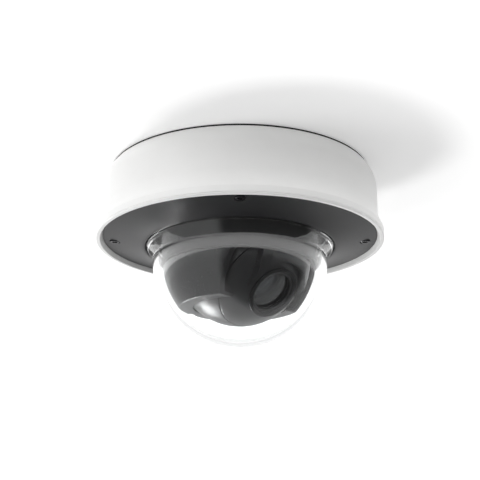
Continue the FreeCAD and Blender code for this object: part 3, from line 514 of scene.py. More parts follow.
# Epoxy chip packages.
CHIP = Finish("epoxy_chip_black_matte", "#1b1b1c", "#161617", 0.6, grain=0.25, relief=0.006)
# Tin-plated brass shield of the network socket.
TIN = Finish("brass_shield_tin_plated", "#c9cbcd", "#b6b9bb", 0.24, metallic=1.0, grain=1.0, relief=0.004)
# Green polyamide terminal block.
TERMINAL = Finish("polyamide_green_moulded", "#2f7d4a", "#296f41", 0.42, grain=0.5, relief=0.004)
# Aluminium capacitor cans in their sleeves.
CAN = Finish("aluminium_can_sleeved", "#8d9299", "#7f848b", 0.35, metallic=0.8, grain=0.5, relief=0.003)
# Natural nylon of the flat-lead connector.
CREAM = Finish("nylon_natural_cream", "#e2d9bd", "#d9cfb2", 0.45, grain=0.5, relief=0.004)
# Red button cap.
RED_CAP = Finish("abs_red_gloss", "#a8221c", "#98201a", 0.3, grain=0.6, relief=0.003)
# Acetal bearing rings and bushes, waxy white.
ACETAL = Finish("acetal_natural_white", "#ecebe6", "#e3e2dc", 0.40, grain=0.6, relief=0.003)
# Ground spring steel of the pins and the snap ring.
GROUND_STEEL = Finish("spring_steel_ground", "#a7a9ab", "#989b9e", 0.26, metallic=1.0, grain=0.25, relief=0.003)
# Deep-drawn steel of the small motors.
MOTOR_CAN = Finish("steel_can_drawn", "#b3b5b8", "#a5a7aa", 0.3, metallic=1.0, grain=0.8, relief=0.003)
# Machined brass pinions.
BRASS = Finish("brass_machined", "#c9a24d", "#b8923f", 0.28, metallic=1.0, grain=0.4, relief=0.003)
# Polished clear polycarbonate with a hard coat: sharp reflections of the whole room.
BUBBLE_PLASTIC = Clear("polycarbonate_clear_hard_coated", "#fbfcfc", 1.585)
# Crown glass of the lens, polished: clear, with sharp faint reflections.
COATED_GLASS = Clear("optical_glass_coated", "#e8eaec", 1.52)
# Infrared-cut filter glass: pale cyan, with a coloured sheen from its stack of thin films.
FILTER_GLASS = Clear("filter_glass_infrared_cut", "#bfe6dc", 1.52, film=520.0)

SLOT_FINISH: dict[str, Finish | Clear] = {
    "white_shell": WHITE_COAT, "white_rim": RIM_COAT, "zinc_steel": ZINC_SHEET, "dark_foam": FOAM,
    "black_cover": BLACK_COAT, "clear_bubble": BUBBLE_PLASTIC, "black_trim": BLACK_TRIM,
    "black_shroud": BLACK_SATIN, "black_ball": BALL_BLACK, "black_lens": LENS_RING,
    "coated_glass": COATED_GLASS, "lens_glass": COATED_GLASS, "filter_glass": FILTER_GLASS,
    "black_plastic": NYLON, "black_rubber": RUBBER, "aluminium_ring": ALUMINIUM, "dark_screw": BLACK_SCREW,
    "steel_screw": BRIGHT_SCREW, "green_board": SOLDER_MASK, "tin_shield": TIN, "terminal_plastic": TERMINAL,
    "black_aluminium": ANODISED, "chip_plastic": CHIP, "capacitor_can": CAN, "cream_plastic": CREAM,
    "red_plastic": RED_CAP, "white_acetal": ACETAL, "spring_steel": GROUND_STEEL, "motor_can": MOTOR_CAN,
    "brass_gear": BRASS,
}


# ------------------------------------------------------------------ sub-assemblies
@dataclass
class SubAssembly:
    """A group of pieces that is built and dressed together."""

    made: list[str] = field(default_factory=list)

    def keep(self, piece: bpy.types.Object, finish: Finish | Clear, slot: str, body: str,
             *nodes: str) -> bpy.types.Object:
        """Dress a finished piece, put it on its body and let it stand for its CAD nodes.

        Args:
            piece: the finished piece.
            finish: its surface.
            slot: the record's material slot.
            body: the CAD body that it rides on.
            nodes: the CAD nodes that it stands for.
        Returns:
            The piece.
        """
        piece.data.materials.clear()
        piece.data.materials.append(finish.material())
        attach(piece, body)
        if nodes:
            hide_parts(*nodes)
        self.made.append(piece.name)
        return piece

    def build(self) -> None:
        """Build and dress every piece."""
        raise NotImplementedError

    def report(self) -> None:
        """Log the pieces that were made."""
        LOG.info("%s: %s", type(self).__name__, ", ".join(self.made))


@dataclass
class CeilingPlate(SubAssembly):
    """The steel plate on the ceiling, its foam ring and the rubber cable gland."""

    plate_radius: float = 68.0
    plate_thickness: float = 2.0
    hole_circle: float = 50.0
    hole_radius: float = 2.6
    screw_circle: float = 58.0
    screw_radius: float = 2.0
    screw_gap: float = 0.05
    cable_radius: float = 14.0
    foam_inner: float = 73.2
    foam_outer: float = 75.4
    foam_thickness: float = 1.0
    gland_radius: float = 8.0
    gland_flange: float = 10.5
    gland_flange_thickness: float = 1.8
    gland_bore: float = 3.2
    wall_top: float = -6.5
    wall_bottom: float = -9.0
    nose: tuple[tuple[float, float, float], ...] = (
        (7.0, -10.8, 0.5), (6.3, -12.0, 0.3), (6.5, -12.6, 0.3), (5.3, -14.0, 0.3), (5.5, -14.6, 0.3),
        (4.4, -15.8, 0.4))

    def build(self) -> None:
        """Build and dress every piece."""
        self.plate()
        self.foam()
        self.gland()

    def plate(self) -> None:
        """Turned disc with a rolled edge, drilled for its screws."""
        low = -self.plate_thickness
        profile = rounded([(self.cable_radius, low, 0.5), (self.plate_radius, low, 0.8),
                           (self.plate_radius, 0.0, 0.5), (self.cable_radius, 0.0, 0.5)])
        plate = lathe("mount_plate_sheet", profile)
        cutters = []
        for radius, places in ((self.hole_radius, round_places(self.hole_circle, 4, 45.0)),
                               (self.screw_radius + self.screw_gap, round_places(self.screw_circle, 3, 90.0))):
            cutters += drills([(0.0, low - 1.0), (radius, low - 1.0), (radius, 1.0), (0.0, 1.0)], places)
        carve(plate, cutters, bevel=0.18, segments=2)
        self.keep(plate, ZINC_SHEET, "zinc_steel", "base", "mount_plate")

    def foam(self) -> None:
        """Foam ring that seals the housing against the ceiling."""
        low = -self.foam_thickness
        profile = rounded([(self.foam_inner, low), (self.foam_outer, low, 0.3), (self.foam_outer, 0.0, 0.3),
                           (self.foam_inner, 0.0)])
        self.keep(lathe("ceiling_foam_ring", profile, segments=192), FOAM, "dark_foam", "base", "ceiling_gasket")

    def gland(self) -> None:
        """Rubber gland with a flange on each side of the wall and a ribbed nose."""
        top, foot = self.wall_top + self.gland_flange_thickness, self.wall_bottom - self.gland_flange_thickness
        profile = rounded([(self.gland_bore, top, 0.4), (self.gland_flange, top, 0.7),
                           (self.gland_flange, self.wall_top, 0.4), (self.gland_radius, self.wall_top),
                           (self.gland_radius, self.wall_bottom), (self.gland_flange, self.wall_bottom, 0.4),
                           (self.gland_flange, foot, 0.6), *self.nose, (self.gland_bore, self.nose[-1][1], 0.4)])
        self.keep(lathe("cable_gland_rubber", profile, segments=96), RUBBER, "black_rubber", "base", "cable_gland")


@dataclass
class Housing(SubAssembly):
    """White die-cast housing: shouldered drum, flared flange and the posts inside it."""

    radius: float = 80.05
    flange_radius: float = 83.15
    shoulder_radius: float = 75.55
    shoulder_height: float = 11.5
    wall: float = 3.0
    flange_inner: float = 81.25
    recess_radius: float = 72.75
    ceiling_gap: float = 1.0
    back_top: float = -6.5
    back_bottom: float = -9.0
    gland_hole: float = 8.05
    flare_top: float = -26.5
    flare_power: float = 1.9
    flange_top: float = -37.5
    edge: float = -41.25
    step: float = -37.15
    post_root: float = -8.8
    boss_radius: float = 4.0
    boss_circle: float = 72.6
    post_radius: float = 4.5
    post_circle: float = 61.9
    post_end: float = -29.0
    post_hole: float = 1.6
    plate_post_radius: float = 5.0
    plate_post_circle: float = 58.0
    plate_post_end: float = -2.05
    plate_post_hole: float = 2.1

    def build(self) -> None:
        """Build and dress every piece.

        The shoulder is a circle's arc, upright at its foot.  Below flare_top the wall moves out by
        the flange's reach times (share of the drop) ** flare_power, so it leaves the drum upright.
        """
        rise = self.shoulder_height
        inset = self.radius - self.shoulder_radius
        curve = (inset ** 2 + rise ** 2) / (2 * inset)
        turn = latitude(rise, curve)
        rim = -self.ceiling_gap
        shoulder = arc((self.radius - curve, rim - rise), curve, turn, 0.0, 24)
        top = rounded([(0.0, self.back_top), (self.recess_radius, self.back_top, 0.8),
                       (self.recess_radius, rim, 0.5), tuple(shoulder[0]) + (0.7,), tuple(shoulder[3])])
        drop = np.linspace(0.0, 1.0, 18)[:, None]
        flare = np.hstack([self.radius + (self.flange_radius - self.radius) * drop ** self.flare_power,
                           self.flare_top + (self.flange_top - self.flare_top) * drop])
        foot = rounded([tuple(flare[-2]), (self.flange_radius, self.flange_top, 0.9),
                        (self.flange_radius, self.edge, 0.35), (self.flange_inner, self.edge, 0.3),
                        (self.flange_inner, self.step, 0.3), (self.radius - self.wall, self.step, 0.5),
                        (self.radius - self.wall, self.back_bottom, 2.0), (0.0, self.back_bottom)])
        profile = joined(top[1:-1], shoulder[3:], flare[:-2], foot[1:-1])
        bore = np.array([(self.gland_hole, self.back_bottom), (self.gland_hole, self.back_top)])
        shell = lathe("housing_shell", joined(profile[profile[:, 0] > self.gland_hole], bore), segments=256)
        self.keep(shell, WHITE_COAT, "white_shell", "base", "housing")
        posts = self.posts(round_places(self.boss_circle, 4), self.boss_radius, self.post_hole, self.step)
        posts += self.posts(round_places(self.post_circle, 3, 30.0), self.post_radius, self.post_hole, self.post_end)
        posts += self.posts(round_places(self.plate_post_circle, 3, 90.0), self.plate_post_radius,
                            self.plate_post_hole, self.plate_post_end, self.back_top)
        self.keep(merged("housing_posts", posts), WHITE_COAT, "white_shell", "base")

    def posts(self, places: list[Corner], radius: float, hole: float, end: float,
              start: float | None = None) -> list[bpy.types.Object]:
        """Cast posts with a rounded end and a screw hole.

        Args:
            places: where they stand, across.
            radius: their radius.
            hole: radius of the screw hole.
            end: height of the free end.
            start: height of the root, or None for post_root.
        Returns:
            The posts.
        """
        root = self.post_root if start is None else start
        profile = rounded([(hole, root), (radius, root), (radius, end, 0.6), (hole, end, 0.3)])
        if end > root:
            profile = profile[::-1]
        return [lathe("post", profile, Seat(origin=(x, y, 0.0)), 40) for x, y in places]


@dataclass
class Cover(SubAssembly):
    """The removable cover: white rim, black bezel, clear bubble, its gasket, clamp ring and screws."""

    edge: float = -40.1
    drop: float = 5.5
    bulge: float = 0.7
    bezel_radius: float = 79.2
    opening: float = 54.6
    seat: float = -41.0
    step_radius: float = 63.0
    top: float = -38.5
    rim_inner: float = 79.35
    rim_ledge: float = 3.2
    rim_top: float = -37.45
    rim_step: float = -41.35
    rim_web: float = 81.05
    rim_radius: float = 83.15
    rim_bottom: float = -42.34
    lip: float = 1.45
    screw_circle: float = 72.6
    screw_hole: float = 1.6
    screw_tip: float = -30.2
    head_radius: float = 2.8
    head_height: float = 1.3
    head_seat: float = -40.2
    recess: float = 3.1
    recess_mouth: float = -41.6
    bubble_radius: float = 50.4
    dome_rise: float = 0.8
    wall: float = 3.0
    neck_outer: float = 54.0
    neck_inner: float = 50.9
    neck_end: float = -46.1
    flange: float = 62.5
    flange_top: float = -37.0
    gasket_inner: float = 54.8
    gasket_top: float = -40.0
    clamp_inner: float = 55.0
    clamp_outer: float = 66.05
    clamp_top: float = -35.0
    clamp_circle: float = 64.2
    clamp_hole: float = 1.35
    clamp_screw_tip: float = -41.5

    def build(self) -> None:
        """Build and dress every piece."""
        self.rim()
        self.bezel()
        self.bubble()
        self.clamp()
        self.screws()

    def rim(self) -> None:
        """Thin white rim with its sloping inner lip."""
        inside, step = self.rim_inner - self.rim_ledge, self.rim_step
        profile = rounded([(inside, self.top + 0.05), (self.rim_inner, self.top + 0.05),
                           (self.rim_inner, self.edge, 0.15), (self.rim_inner + self.lip, self.rim_bottom, 0.35),
                           (self.rim_radius, self.rim_bottom, 0.55), (self.rim_radius, step, 0.2),
                           (self.rim_web, step, 0.2), (self.rim_web, self.rim_top, 0.3), (inside, self.rim_top)])
        self.keep(lathe("cover_rim_ring", profile, segments=256), RIM_COAT, "white_rim", "cover", "cover_rim")

    def bezel(self) -> None:
        """Dished black cover face with four counterbored screw recesses."""
        face = bowed((self.bezel_radius, self.edge), (self.opening + 0.9, self.edge - self.drop), -self.bulge, 20)
        lip = rounded([tuple(face[-2]), (self.opening + 0.2, self.edge - self.drop - 0.1, 0.7),
                       (self.opening, self.seat, 0.2), (self.step_radius, self.seat, 0.3),
                       (self.step_radius, self.top, 0.3), (self.bezel_radius, self.top, 0.3), tuple(face[1])])
        outer = rounded([(self.bezel_radius, self.top), (self.bezel_radius, self.edge, 0.35), tuple(face[1])])
        profile = joined(outer[1:-1], face[1:-1], lip[1:-1])
        ring = lathe("bezel_cover_face", profile, segments=256)
        above, mouth, below = self.flange_top, self.recess_mouth, self.recess_mouth - 3.0
        drill = [(0.0, above), (self.screw_hole, above), (self.screw_hole, self.head_seat),
                 (self.recess, self.head_seat), (self.recess, mouth), (self.recess + 3.0, below), (0.0, below)]
        carve(ring, drills(drill, round_places(self.screw_circle, 4), 48), bevel=0.12, segments=2)
        self.keep(ring, BLACK_COAT, "black_cover", "cover", "bezel")

    def bubble(self) -> None:
        """Clear bubble: flange, straight neck, short cone and dome, with a real wall."""
        centre = (0.0, PIVOT[2])
        inner_radius = self.bubble_radius - self.wall
        start = latitude(self.dome_rise, self.bubble_radius)
        dome = arc(centre, self.bubble_radius, start, -90.0, 72)
        hollow = arc(centre, inner_radius, -90.0, start, 72)
        outer = rounded([(self.neck_inner, self.flange_top), (self.flange, self.flange_top, 0.5),
                         (self.flange, self.flange_top - 3.0, 0.5), (self.neck_outer, self.flange_top - 3.0, 0.8),
                         (self.neck_outer, self.neck_end, 1.6), tuple(dome[0] + [0.02, 0.3])], 8)
        inner = rounded([tuple(hollow[-1] + [0.02, 0.3]), (self.neck_inner, self.neck_end + 1.7, 1.6),
                         (self.neck_inner, self.flange_top)], 8)
        profile = joined(outer[1:-1], dome, hollow, inner[1:-1], outer[:1])
        bubble = lathe("clear_bubble_dome", profile[:-1], segments=224)
        bubble.visible_shadow = False
        self.keep(bubble, BUBBLE_PLASTIC, "clear_bubble", "cover", "bubble")
        ring = rounded([(self.gasket_inner, self.seat, 0.3), (self.flange, self.seat, 0.3),
                        (self.flange, self.gasket_top, 0.3), (self.gasket_inner, self.gasket_top, 0.3)])
        self.keep(lathe("bubble_gasket_ring", ring, segments=192), RUBBER, "black_rubber", "cover", "bubble_gasket")

    def clamp(self) -> None:
        """Aluminium ring that presses the bubble's flange down, with its small screws."""
        low, high, hole = self.flange_top, self.clamp_top, self.clamp_hole
        ring = lathe("clamp_ring_plate", rounded([(self.clamp_inner, low, 0.3), (self.clamp_outer, low, 0.3),
                                                  (self.clamp_outer, high, 0.4), (self.clamp_inner, high, 0.4)]),
                     segments=192)
        places = round_places(self.clamp_circle, 6, 30.0)
        screws = [self.screw(x, y, high, 1.1, 2.15, 1.25, self.clamp_screw_tip) for x, y in places]
        carve(ring, drills([(0.0, low - 1.0), (hole, low - 1.0), (hole, high + 1.0), (0.0, high + 1.0)], places, 24),
              bevel=0.1, segments=2)
        self.keep(ring, ALUMINIUM, "aluminium_ring", "cover", "clamp_ring")
        self.keep(merged("clamp_screw_set", screws), BRIGHT_SCREW, "steel_screw", "cover", "clamp_screws")

    def screws(self) -> None:
        """Four captive screws with a six-lobe drive and a centre pin."""
        heads = [self.screw(x, y, self.head_seat, -self.head_height, self.head_radius, 1.5, self.screw_tip)
                 for x, y in round_places(self.screw_circle, 4)]
        self.keep(merged("cover_screw_set", heads), BLACK_SCREW, "dark_screw", "cover", "cover_screws")

    def screw(self, x: float, y: float, seat: float, height: float, head: float, shank: float,
              tip: float) -> bpy.types.Object:
        """A low-head screw with a lobed socket.

        Args:
            x: place across.
            y: place across.
            seat: height of the face that the head rests on.
            height: signed height of the head above its seat.
            head: the head's radius.
            shank: the shank's radius.
            tip: height of the shank's end.
        Returns:
            The screw.
        """
        face = seat + height
        drive, pin = 0.5 * head, 0.16 * head
        floor = seat + 0.3 * height
        corners = [(0.0, tip), (shank - 0.3, tip), (shank, tip + math.copysign(0.3, seat - tip)), (shank, seat),
                   (head, seat, 0.1), (head, face, 0.35 * abs(height)), (drive + 0.12, face),
                   (drive, face - 0.1 * height), (drive, floor), (pin, floor), (pin, face - 0.15 * height),
                   (0.0, face - 0.05 * height)]
        profile = rounded(corners, 4)
        inside = (profile[:, 0] > 0.3 * head) & (profile[:, 0] < drive + 0.2)
        flat = np.abs(profile[:, 1] - seat) > 0.25 * abs(height)
        on_head = (profile[:, 1] - seat) * height > 0
        lobes = (inside & flat & on_head).astype(float)
        return lathe("screw", profile, Seat(origin=(x, y, 0.0)), 72, lobes, 6, 0.14, closed=False)


@dataclass
class Collar(SubAssembly):
    """The black collar round the pan unit."""

    radius: float = 44.7
    inner: float = 43.2
    flange: float = 58.1
    top: float = -31.5
    bottom: float = -57.8

    def build(self) -> None:
        """Build and dress every piece."""
        profile = rounded([(self.inner, self.top), (self.flange, self.top), (self.flange, self.top - 1.5, 0.4),
                           (self.radius, self.top - 1.5, 1.2), (self.radius, self.bottom, 0.6),
                           (self.inner, self.bottom, 0.4)])
        self.keep(lathe("collar_sleeve", profile, segments=192), BLACK_TRIM, "black_trim", "base", "collar")


@dataclass
class PanShroud(SubAssembly):
    """The black shroud that pans with the lens ball: a round cap, open at the front."""

    radius: float = 44.5
    inner: float = 42.0
    skirt: float = 42.7
    skirt_inner: float = 41.5
    top: float = 18.1
    shoulder: float = -5.6
    floor: float = -28.4
    floor_thickness: float = 1.6
    floor_hole: float = 26.15
    inner_step: float = -8.0
    skirt_step: float = -6.8
    opening_dip: float = 29.0
    opening_offset: float = 27.3

    def build(self) -> None:
        """Build and dress every piece."""
        first = latitude(self.shoulder, self.radius)
        last = latitude(self.floor, self.radius)
        dome = arc((0.0, 0.0), self.radius, first, last, 40)
        floor_top = self.floor + self.floor_thickness
        inner_last = latitude(floor_top, self.inner)
        inner_first = latitude(self.inner_step, self.inner)
        hollow = arc((0.0, 0.0), self.inner, inner_last, inner_first, 30)
        outer = rounded([(self.skirt, self.top), (self.skirt, self.shoulder, 0.2), tuple(dome[0]) + (0.5,),
                         tuple(dome[2])])
        foot = rounded([tuple(dome[-3]), tuple(dome[-1]) + (1.0,), (self.floor_hole, self.floor, 0.4),
                        (self.floor_hole + 0.8, floor_top, 0.4), tuple(hollow[0])])
        skirt = np.array([[self.skirt_inner, self.skirt_step], [self.skirt_inner, self.top]])
        profile = joined(outer[:-1], dome[2:-2], foot[1:-1], hollow, skirt)
        shroud = lathe("pan_shroud_shell", profile, BALL, 192)
        dip = math.radians(self.opening_dip)
        carve(shroud, [beyond(np.array([math.cos(dip), 0.0, -math.sin(dip)]), self.opening_offset, BALL)],
              bevel=0.45, segments=3)
        self.keep(shroud, BLACK_SATIN, "black_shroud", "pan", "shroud")


@dataclass
class LensBall(SubAssembly):
    """The tilting ball: front cap, rear shell and the brow over the lens."""

    radius: float = 38.0
    wall: float = 2.0
    lid: float = 1.0
    seam: float = 24.8
    seam_gap: float = 0.1
    window: float = 15.8
    headroom: float = 16.1
    cable_hole: float = 6.0
    cable_hole_end: float = -20.0
    brow_radius: float = 39.6
    brow_corner: float = 41.7
    brow_half_width: float = 19.0
    brow_roof: float = -5.4
    brow_angle: float = 29.0

    def build(self) -> None:
        """Build and dress every piece."""
        self.front()
        self.rear()
        self.brow()

    def zone(self, low: float, high: float) -> Array:
        """Closed outline of the ball's wall between two heights along the lens axis."""
        outer = arc((0.0, 0.0), self.radius, latitude(low, self.radius), latitude(high, self.radius), 40)
        within = self.radius - self.wall
        inner = arc((0.0, 0.0), within, latitude(min(high, 0.999 * within), within), latitude(low, within), 40)
        return rounded([tuple(outer[0]) + (0.35,), *[tuple(p) for p in outer[3:-3]], tuple(outer[-1]) + (0.6,),
                        tuple(inner[0]) + (0.3,), *[tuple(p) for p in inner[3:-3]], tuple(inner[-1])], 4)

    def front(self) -> None:
        """Front cap, with a rounded lip round the lens window."""
        lip = math.sqrt(self.radius ** 2 - self.window ** 2)
        cap = lathe("ball_front_cap", self.zone(self.seam + self.seam_gap, lip), LENS, 160)
        self.keep(cap, BALL_BLACK, "black_ball", "tilt", "ball_front")

    def swings(self) -> list[Array]:
        """Normals, in the lens frame, of the three planes that keep the ball clear above."""
        angles = np.radians(np.array([0.0, 30.0, 60.0]))
        return [np.array([0.0, math.sin(a), -math.cos(a)]) for a in angles]

    def rear(self) -> None:
        """Rear shell, cut back by three flat walls under the turntable."""
        seam = self.seam - self.seam_gap
        outer = arc((0.0, 0.0), self.radius, -90.0, latitude(seam, self.radius), 60)
        body = lathe("ball_rear_shell", joined(outer, np.array([[0.0, seam]])), LENS, 160, closed=False)
        carve(body, [beyond(n, self.headroom, LENS) for n in self.swings()])
        hollow_outline = joined(arc((0.0, 0.0), self.radius - self.wall, -90.0, 50.0, 60), np.array([[0.0, 40.0]]))
        hollow = lathe("cutter", hollow_outline, LENS, 120, closed=False)
        carve(hollow, [beyond(n, self.headroom - self.lid, LENS) for n in self.swings()])
        end = self.cable_hole_end
        drill = np.array([(0.0, end), (self.cable_hole, end), (self.cable_hole, 0.0), (0.0, 0.0)])
        carve(body, [hollow, lathe("cutter", drill, LENS, 48, closed=False)], bevel=0.3, segments=2)
        self.keep(body, BALL_BLACK, "black_ball", "tilt", "ball_rear")

    def brow(self) -> None:
        """Drum-shaped brow with a flat roof, cut round the lens."""
        width = self.brow_half_width
        drum = np.array([(0.0, -width), (self.brow_radius, -width), (self.brow_radius, width), (0.0, width)])
        sideways = Seat(origin=PIVOT, across=HEADING, along=TILT_AXIS)
        brow = lathe("lens_brow_visor", drum, sideways, 256, closed=False)
        limit = lathe("cutter", arc((0.0, 0.0), self.brow_corner, -90.0, 90.0, 80), BALL, 160, closed=False)
        carve(brow, [limit], operation="INTERSECT")
        inside = lathe("cutter", arc((0.0, 0.0), self.radius + 0.05, -90.0, 90.0, 80), BALL, 160, closed=False)
        slope, far = math.tan(math.radians(self.brow_angle)), 60.0
        cone = lathe("cutter", np.array([(0.0, 0.0), (far * slope, far), (0.0, far)]), LENS, 128, closed=False)
        cutters = [inside, cone, beyond(np.array([0.0, 0.0, 1.0]), self.brow_roof, BALL),
                   beyond(np.array([0.0, -1.0, 0.0]), 0.0, LENS),
                   beyond(np.array([0.0, 0.0, -1.0]), -self.seam, LENS)]
        carve(brow, cutters, bevel=0.35, segments=3)
        self.keep(brow, BALL_BLACK, "black_ball", "tilt", "lens_brow")


@dataclass
class Lens(SubAssembly):
    """The lens: front ring, coated front glass and baffled barrel."""

    ring_radius: float = 15.4
    barrel_radius: float = 13.0
    barrel_bore: float = 11.4
    ring_back: float = 32.5
    ring_front: float = 35.9
    barrel_back: float = 11.0
    barrel_front: float = 30.3
    bulge: float = 1.6
    baffle_pitch: float = 1.2
    baffle_depth: float = 0.45

    def build(self) -> None:
        """Build and dress every piece."""
        self.ring()
        self.barrel()
        self.glass()

    def ring(self) -> None:
        """Anodised ring with one fine groove on its face and a stepped funnel."""
        back, front = self.ring_back, self.ring_front
        profile = rounded([(self.barrel_radius - 0.9, self.barrel_front), (self.ring_radius - 1.2, self.barrel_front),
                           (self.ring_radius - 1.2, back), (self.ring_radius, back, 0.2),
                           (self.ring_radius, front, 0.45), (14.6, front), (14.5, front - 0.22), (14.2, front - 0.22),
                           (14.1, front), (13.5, front, 0.3), (13.1, front - 0.9, 0.15), (12.6, front - 0.9, 0.15),
                           (12.4, front - 1.7, 0.15), (12.15, front - 1.7, 0.1), (12.1, back, 0.1)])
        self.keep(lathe("lens_front_ring", profile, LENS, 192), LENS_RING, "black_lens", "roll", "front_ring")

    def barrel(self) -> None:
        """Barrel with sawtooth baffles inside, which swallow stray light."""
        teeth = np.arange(self.barrel_back + 4.0, self.barrel_front - 1.0, self.baffle_pitch)
        saw = np.stack([np.stack([np.full_like(teeth, self.barrel_bore), teeth], axis=1),
                        np.stack([np.full_like(teeth, self.barrel_bore - self.baffle_depth),
                                  teeth + 0.75 * self.baffle_pitch], axis=1)],
                       axis=1).reshape(-1, 2)
        outer = rounded([(self.barrel_bore, self.barrel_back), (self.barrel_radius, self.barrel_back, 0.2),
                         (self.barrel_radius, self.barrel_front, 0.2), (self.barrel_bore, self.barrel_front)])
        profile = joined(outer, saw[::-1])
        self.keep(lathe("lens_barrel_tube", profile, LENS, 128), BAFFLE, "black_lens", "roll", "lens_barrel")

    def glass(self) -> None:
        """Front element with a convex face, on the barrel's end."""
        radius = self.barrel_radius - 1.0
        edge = self.ring_back - 0.2
        curve = (radius ** 2 + self.bulge ** 2) / (2 * self.bulge)
        half = latitude(radius, curve)
        face = arc((0.0, edge + self.bulge - curve), curve, 90.0 - half, 90.0, 24)
        back = bowed((0.0, self.barrel_front + 0.6), (radius - 1.6, self.barrel_front), 0.2, 12)
        profile = joined(back, np.array([[radius, self.barrel_front], [radius, edge]]), face)
        self.keep(lathe("front_glass_element", profile, LENS, 128, closed=False), COATED_GLASS, "coated_glass",
                  "roll", "front_glass")


def dress_cad_nodes() -> None:
    """Give every CAD node the finish of its material slot."""
    slots = {part["node"]: part["material_slot"] for part in frame["record"]["subparts"]}
    for name, node in frame["nodes"].items():
        made = SLOT_FINISH[slots[name]].material()
        node.data.materials.clear()
        node.data.materials.append(made)
        node.data.shade_smooth()
        node.data.set_sharp_from_angle(angle=math.radians(30.0))


# ------------------------------------------------------------------ studio
@dataclass(frozen=True)
class Softbox:
    """A round soft lamp: where it stands and its width, in metres, and its power in watts."""

    name: str
    place: tuple[float, float, float]
    width: float
    power: float
    mirrored: bool = False

    def build(self, aim: tuple[float, float, float]) -> None:
        """Add the lamp, turned to a point.  One that isn't mirrored lights surfaces but shows in none."""
        lamp = bpy.data.lights.new(self.name, "AREA")
        lamp.shape = "DISK"
        lamp.size = self.width
        lamp.energy = self.power
        box = bpy.data.objects.new(self.name, lamp)
        box.location = self.place
        box.rotation_euler = (Vector(aim) - Vector(self.place)).to_track_quat("-Z", "Y").to_euler()
        box.visible_glossy = self.mirrored
        box.visible_transmission = self.mirrored
        bpy.context.scene.collection.objects.link(box)


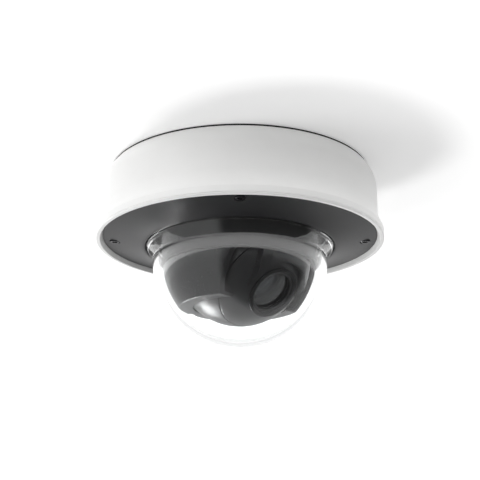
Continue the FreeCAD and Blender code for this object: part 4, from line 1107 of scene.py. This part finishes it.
@dataclass
class Studio:
    """White ceiling that glows as painted light, pale floor, soft lights and the camera."""

    sheet_radius: float = 9.0
    ceiling_hole: float = 0.071
    # The ceiling's glow is painted light: low near the object as painted shade round it, full from glow_to metres
    # off.
    ceiling_painted_shade_glow: float = 0.24
    ceiling_painted_light_glow_far: float = 1.0
    glow_from: float = 0.08
    glow_to: float = 0.35
    floor_height: float = -3.5
    distance: float = 0.6792
    height: float = 0.2139
    target: float = -0.0401
    focal: float = 87.75
    sensor: float = 36.0
    lamp_aim: tuple[float, float, float] = (0.0, 0.0, -0.05)
    bright_side: tuple[float, float, float] = (-0.6, 0.8, 0.3)
    dim: float = 0.12
    bright: float = 0.72
    far_lift: float = 1.7
    softboxes: tuple[Softbox, ...] = (
        Softbox("key_softbox", (-1.93, 2.45, -2.34), 1.25, 62.0, mirrored=True),
        Softbox("front_fill", (0.45, -1.5, -0.75), 1.2, 2.0),
        Softbox("right_fill", (1.6, 0.1, -0.8), 1.2, 1.5),
        Softbox("left_fill", (-1.6, -0.2, -0.8), 1.2, 8.0),
        Softbox("back_fill", (0.1, 1.6, -0.8), 1.2, 0.2),
        Softbox("top_fill", (0.4, -0.5, 1.5), 1.2, 14.0),
    )

    def sheet(self, name: str, height: float, hole: float, made: bpy.types.Material) -> bpy.types.Object:
        """Add a large flat sheet of the stage.

        The sheet is a grid of a turn and a radius: rings of points from the hole's edge, or a
        point, out to the sheet's edge.

        Args:
            name: the sheet's name.
            height: its height in metres.
            hole: radius of the hole in its middle.
            made: its material.
        Returns:
            The sheet.
        """
        count = 96
        turns = np.linspace(0.0, FULL_TURN, count, endpoint=False)
        reach = np.array([max(hole, 0.001), self.sheet_radius])[:, None]
        points = np.stack([reach * np.cos(turns), reach * np.sin(turns), np.full((2, count), height)], axis=2)
        step = np.arange(count)
        after = (step + 1) % count
        faces = np.stack([step, count + step, count + after, after], axis=1)[:, ::-1]
        mesh = bpy.data.meshes.new(name)
        mesh.from_pydata(points.reshape(-1, 3).tolist(), [], faces.tolist())
        mesh.materials.append(made)
        sheet = bpy.data.objects.new(name, mesh)
        bpy.context.scene.collection.objects.link(sheet)
        return sheet

    def paint(self, name: str, colour: str, glow: float, far_glow: float, one_sided: bool) -> bpy.types.Material:
        """Matte paint that can glow by itself as painted light, dimmer near the object as painted shade round it, and
        clear from behind if asked, so that views from above look past the ceiling.

        Args:
            name: the paint's name.
            colour: its hex colour.
            glow: share of its colour that it gives off by itself near the object: painted light, kept low there as
                painted shade.
            far_glow: the same painted light, from glow_to metres away.
            one_sided: whether its back is clear.
        Returns:
            The material.
        """
        made = bpy.data.materials.new(name)
        tree = empty_tree(made)
        # Painted light: the glow rises with distance from the object, so the ceiling near it is painted darker as
        # shade.
        away = add_node(tree, "VectorMath", {"operation": "LENGTH"},
                        {0: add_node(tree, "TexCoord").outputs["Object"]})
        level = add_node(tree, "MapRange", {"interpolation_type": "SMOOTHSTEP"},
                         {"Value": away.outputs["Value"], "From Min": self.glow_from, "From Max": self.glow_to,
                          "To Min": glow, "To Max": far_glow})
        paint = add_node(tree, "BsdfPrincipled", inputs={"Base Color": linear(colour), "Roughness": 0.9,
                                                         "Specular IOR Level": 0.2,
                                                         "Emission Color": linear(colour),
                                                         "Emission Strength": level.outputs["Result"]})
        surface = paint.outputs["BSDF"]
        if one_sided:
            side = add_node(tree, "NewGeometry").outputs["Backfacing"]
            clear = add_node(tree, "BsdfTransparent")
            surface = add_node(tree, "MixShader", inputs={0: side, 1: surface, 2: clear.outputs[0]}).outputs[0]
        add_node(tree, "OutputMaterial", inputs={"Surface": surface})
        return made

    def room(self) -> None:
        """World light: a pale room, brighter ahead of the camera and dark behind it to the right.

        The light is dim plus a smooth step of (direction . bright_side), times a second smooth step
        of the direction's Y.  Seen directly it is plain white.
        """
        world = bpy.data.worlds.new("soft_room")
        tree = empty_tree(world)
        way = add_node(tree, "TexCoord").outputs["Generated"]
        towards = add_node(tree, "VectorMath", {"operation": "DOT_PRODUCT"}, {0: way, 1: self.bright_side})
        level = add_node(tree, "MapRange", {"interpolation_type": "SMOOTHSTEP"},
                         {"Value": towards.outputs["Value"], "From Min": -0.62, "From Max": -0.42,
                          "To Min": self.dim, "To Max": self.bright})
        ahead = add_node(tree, "SeparateXYZ", inputs={0: way}).outputs["Y"]
        lift = add_node(tree, "MapRange", {"interpolation_type": "SMOOTHSTEP"},
                        {"Value": ahead, "From Min": 0.5, "From Max": 0.85, "To Min": 1.0, "To Max": self.far_lift})
        lifted = add_node(tree, "Math", {"operation": "MULTIPLY"}, {0: level.outputs["Result"],
                                                                    1: lift.outputs["Result"]})
        seen = add_node(tree, "LightPath").outputs["Is Camera Ray"]
        strength = add_node(tree, "Math", {"operation": "MAXIMUM"}, {0: lifted.outputs["Value"], 1: seen})
        sky = add_node(tree, "Background", inputs={"Strength": strength.outputs["Value"]})
        add_node(tree, "OutputWorld", inputs={"Surface": sky.outputs["Background"]})
        bpy.context.scene.world = world

    def build(self) -> None:
        """Build the stage, lights, world and camera."""
        scene = bpy.context.scene
        scene.view_settings.view_transform = "Standard"
        self.sheet("ceiling_stage", 0.0, self.ceiling_hole,
                   self.paint("ceiling_white_paint_with_painted_glow", "#f7f7f7", self.ceiling_painted_shade_glow, self.ceiling_painted_light_glow_far, True))
        floor = self.sheet("floor_stage", self.floor_height, 0.0,
                           self.paint("floor_paint_pale", "#dcdcdc", 0.0, 0.0, False))
        floor.visible_glossy = floor.visible_transmission = floor.visible_diffuse = False
        self.room()
        for softbox in self.softboxes:
            softbox.build(self.lamp_aim)
        lens = bpy.data.cameras.new("view_camera")
        lens.lens = self.focal
        lens.sensor_width = self.sensor
        camera = bpy.data.objects.new("view_camera", lens)
        reach = math.sqrt(self.distance ** 2 - self.height ** 2)
        camera.location = (0.0, -reach, self.target - self.height)
        aim = Vector((0.0, 0.0, self.target)) - camera.location
        camera.rotation_euler = aim.to_track_quat("-Z", "Y").to_euler()
        scene.collection.objects.link(camera)
        scene.camera = camera


def main() -> None:
    """Build every sub-assembly in order and report its pieces."""
    logging.basicConfig(level=logging.INFO, format="%(message)s", stream=sys.stdout)
    dress_cad_nodes()
    for assembly in (CeilingPlate(), Housing(), Cover(), Collar(), PanShroud(), LensBall(), Lens()):
        assembly.build()
        assembly.report()
    Studio().build()
    bpy.context.view_layer.update()


if __name__ == "__main__":
    main()
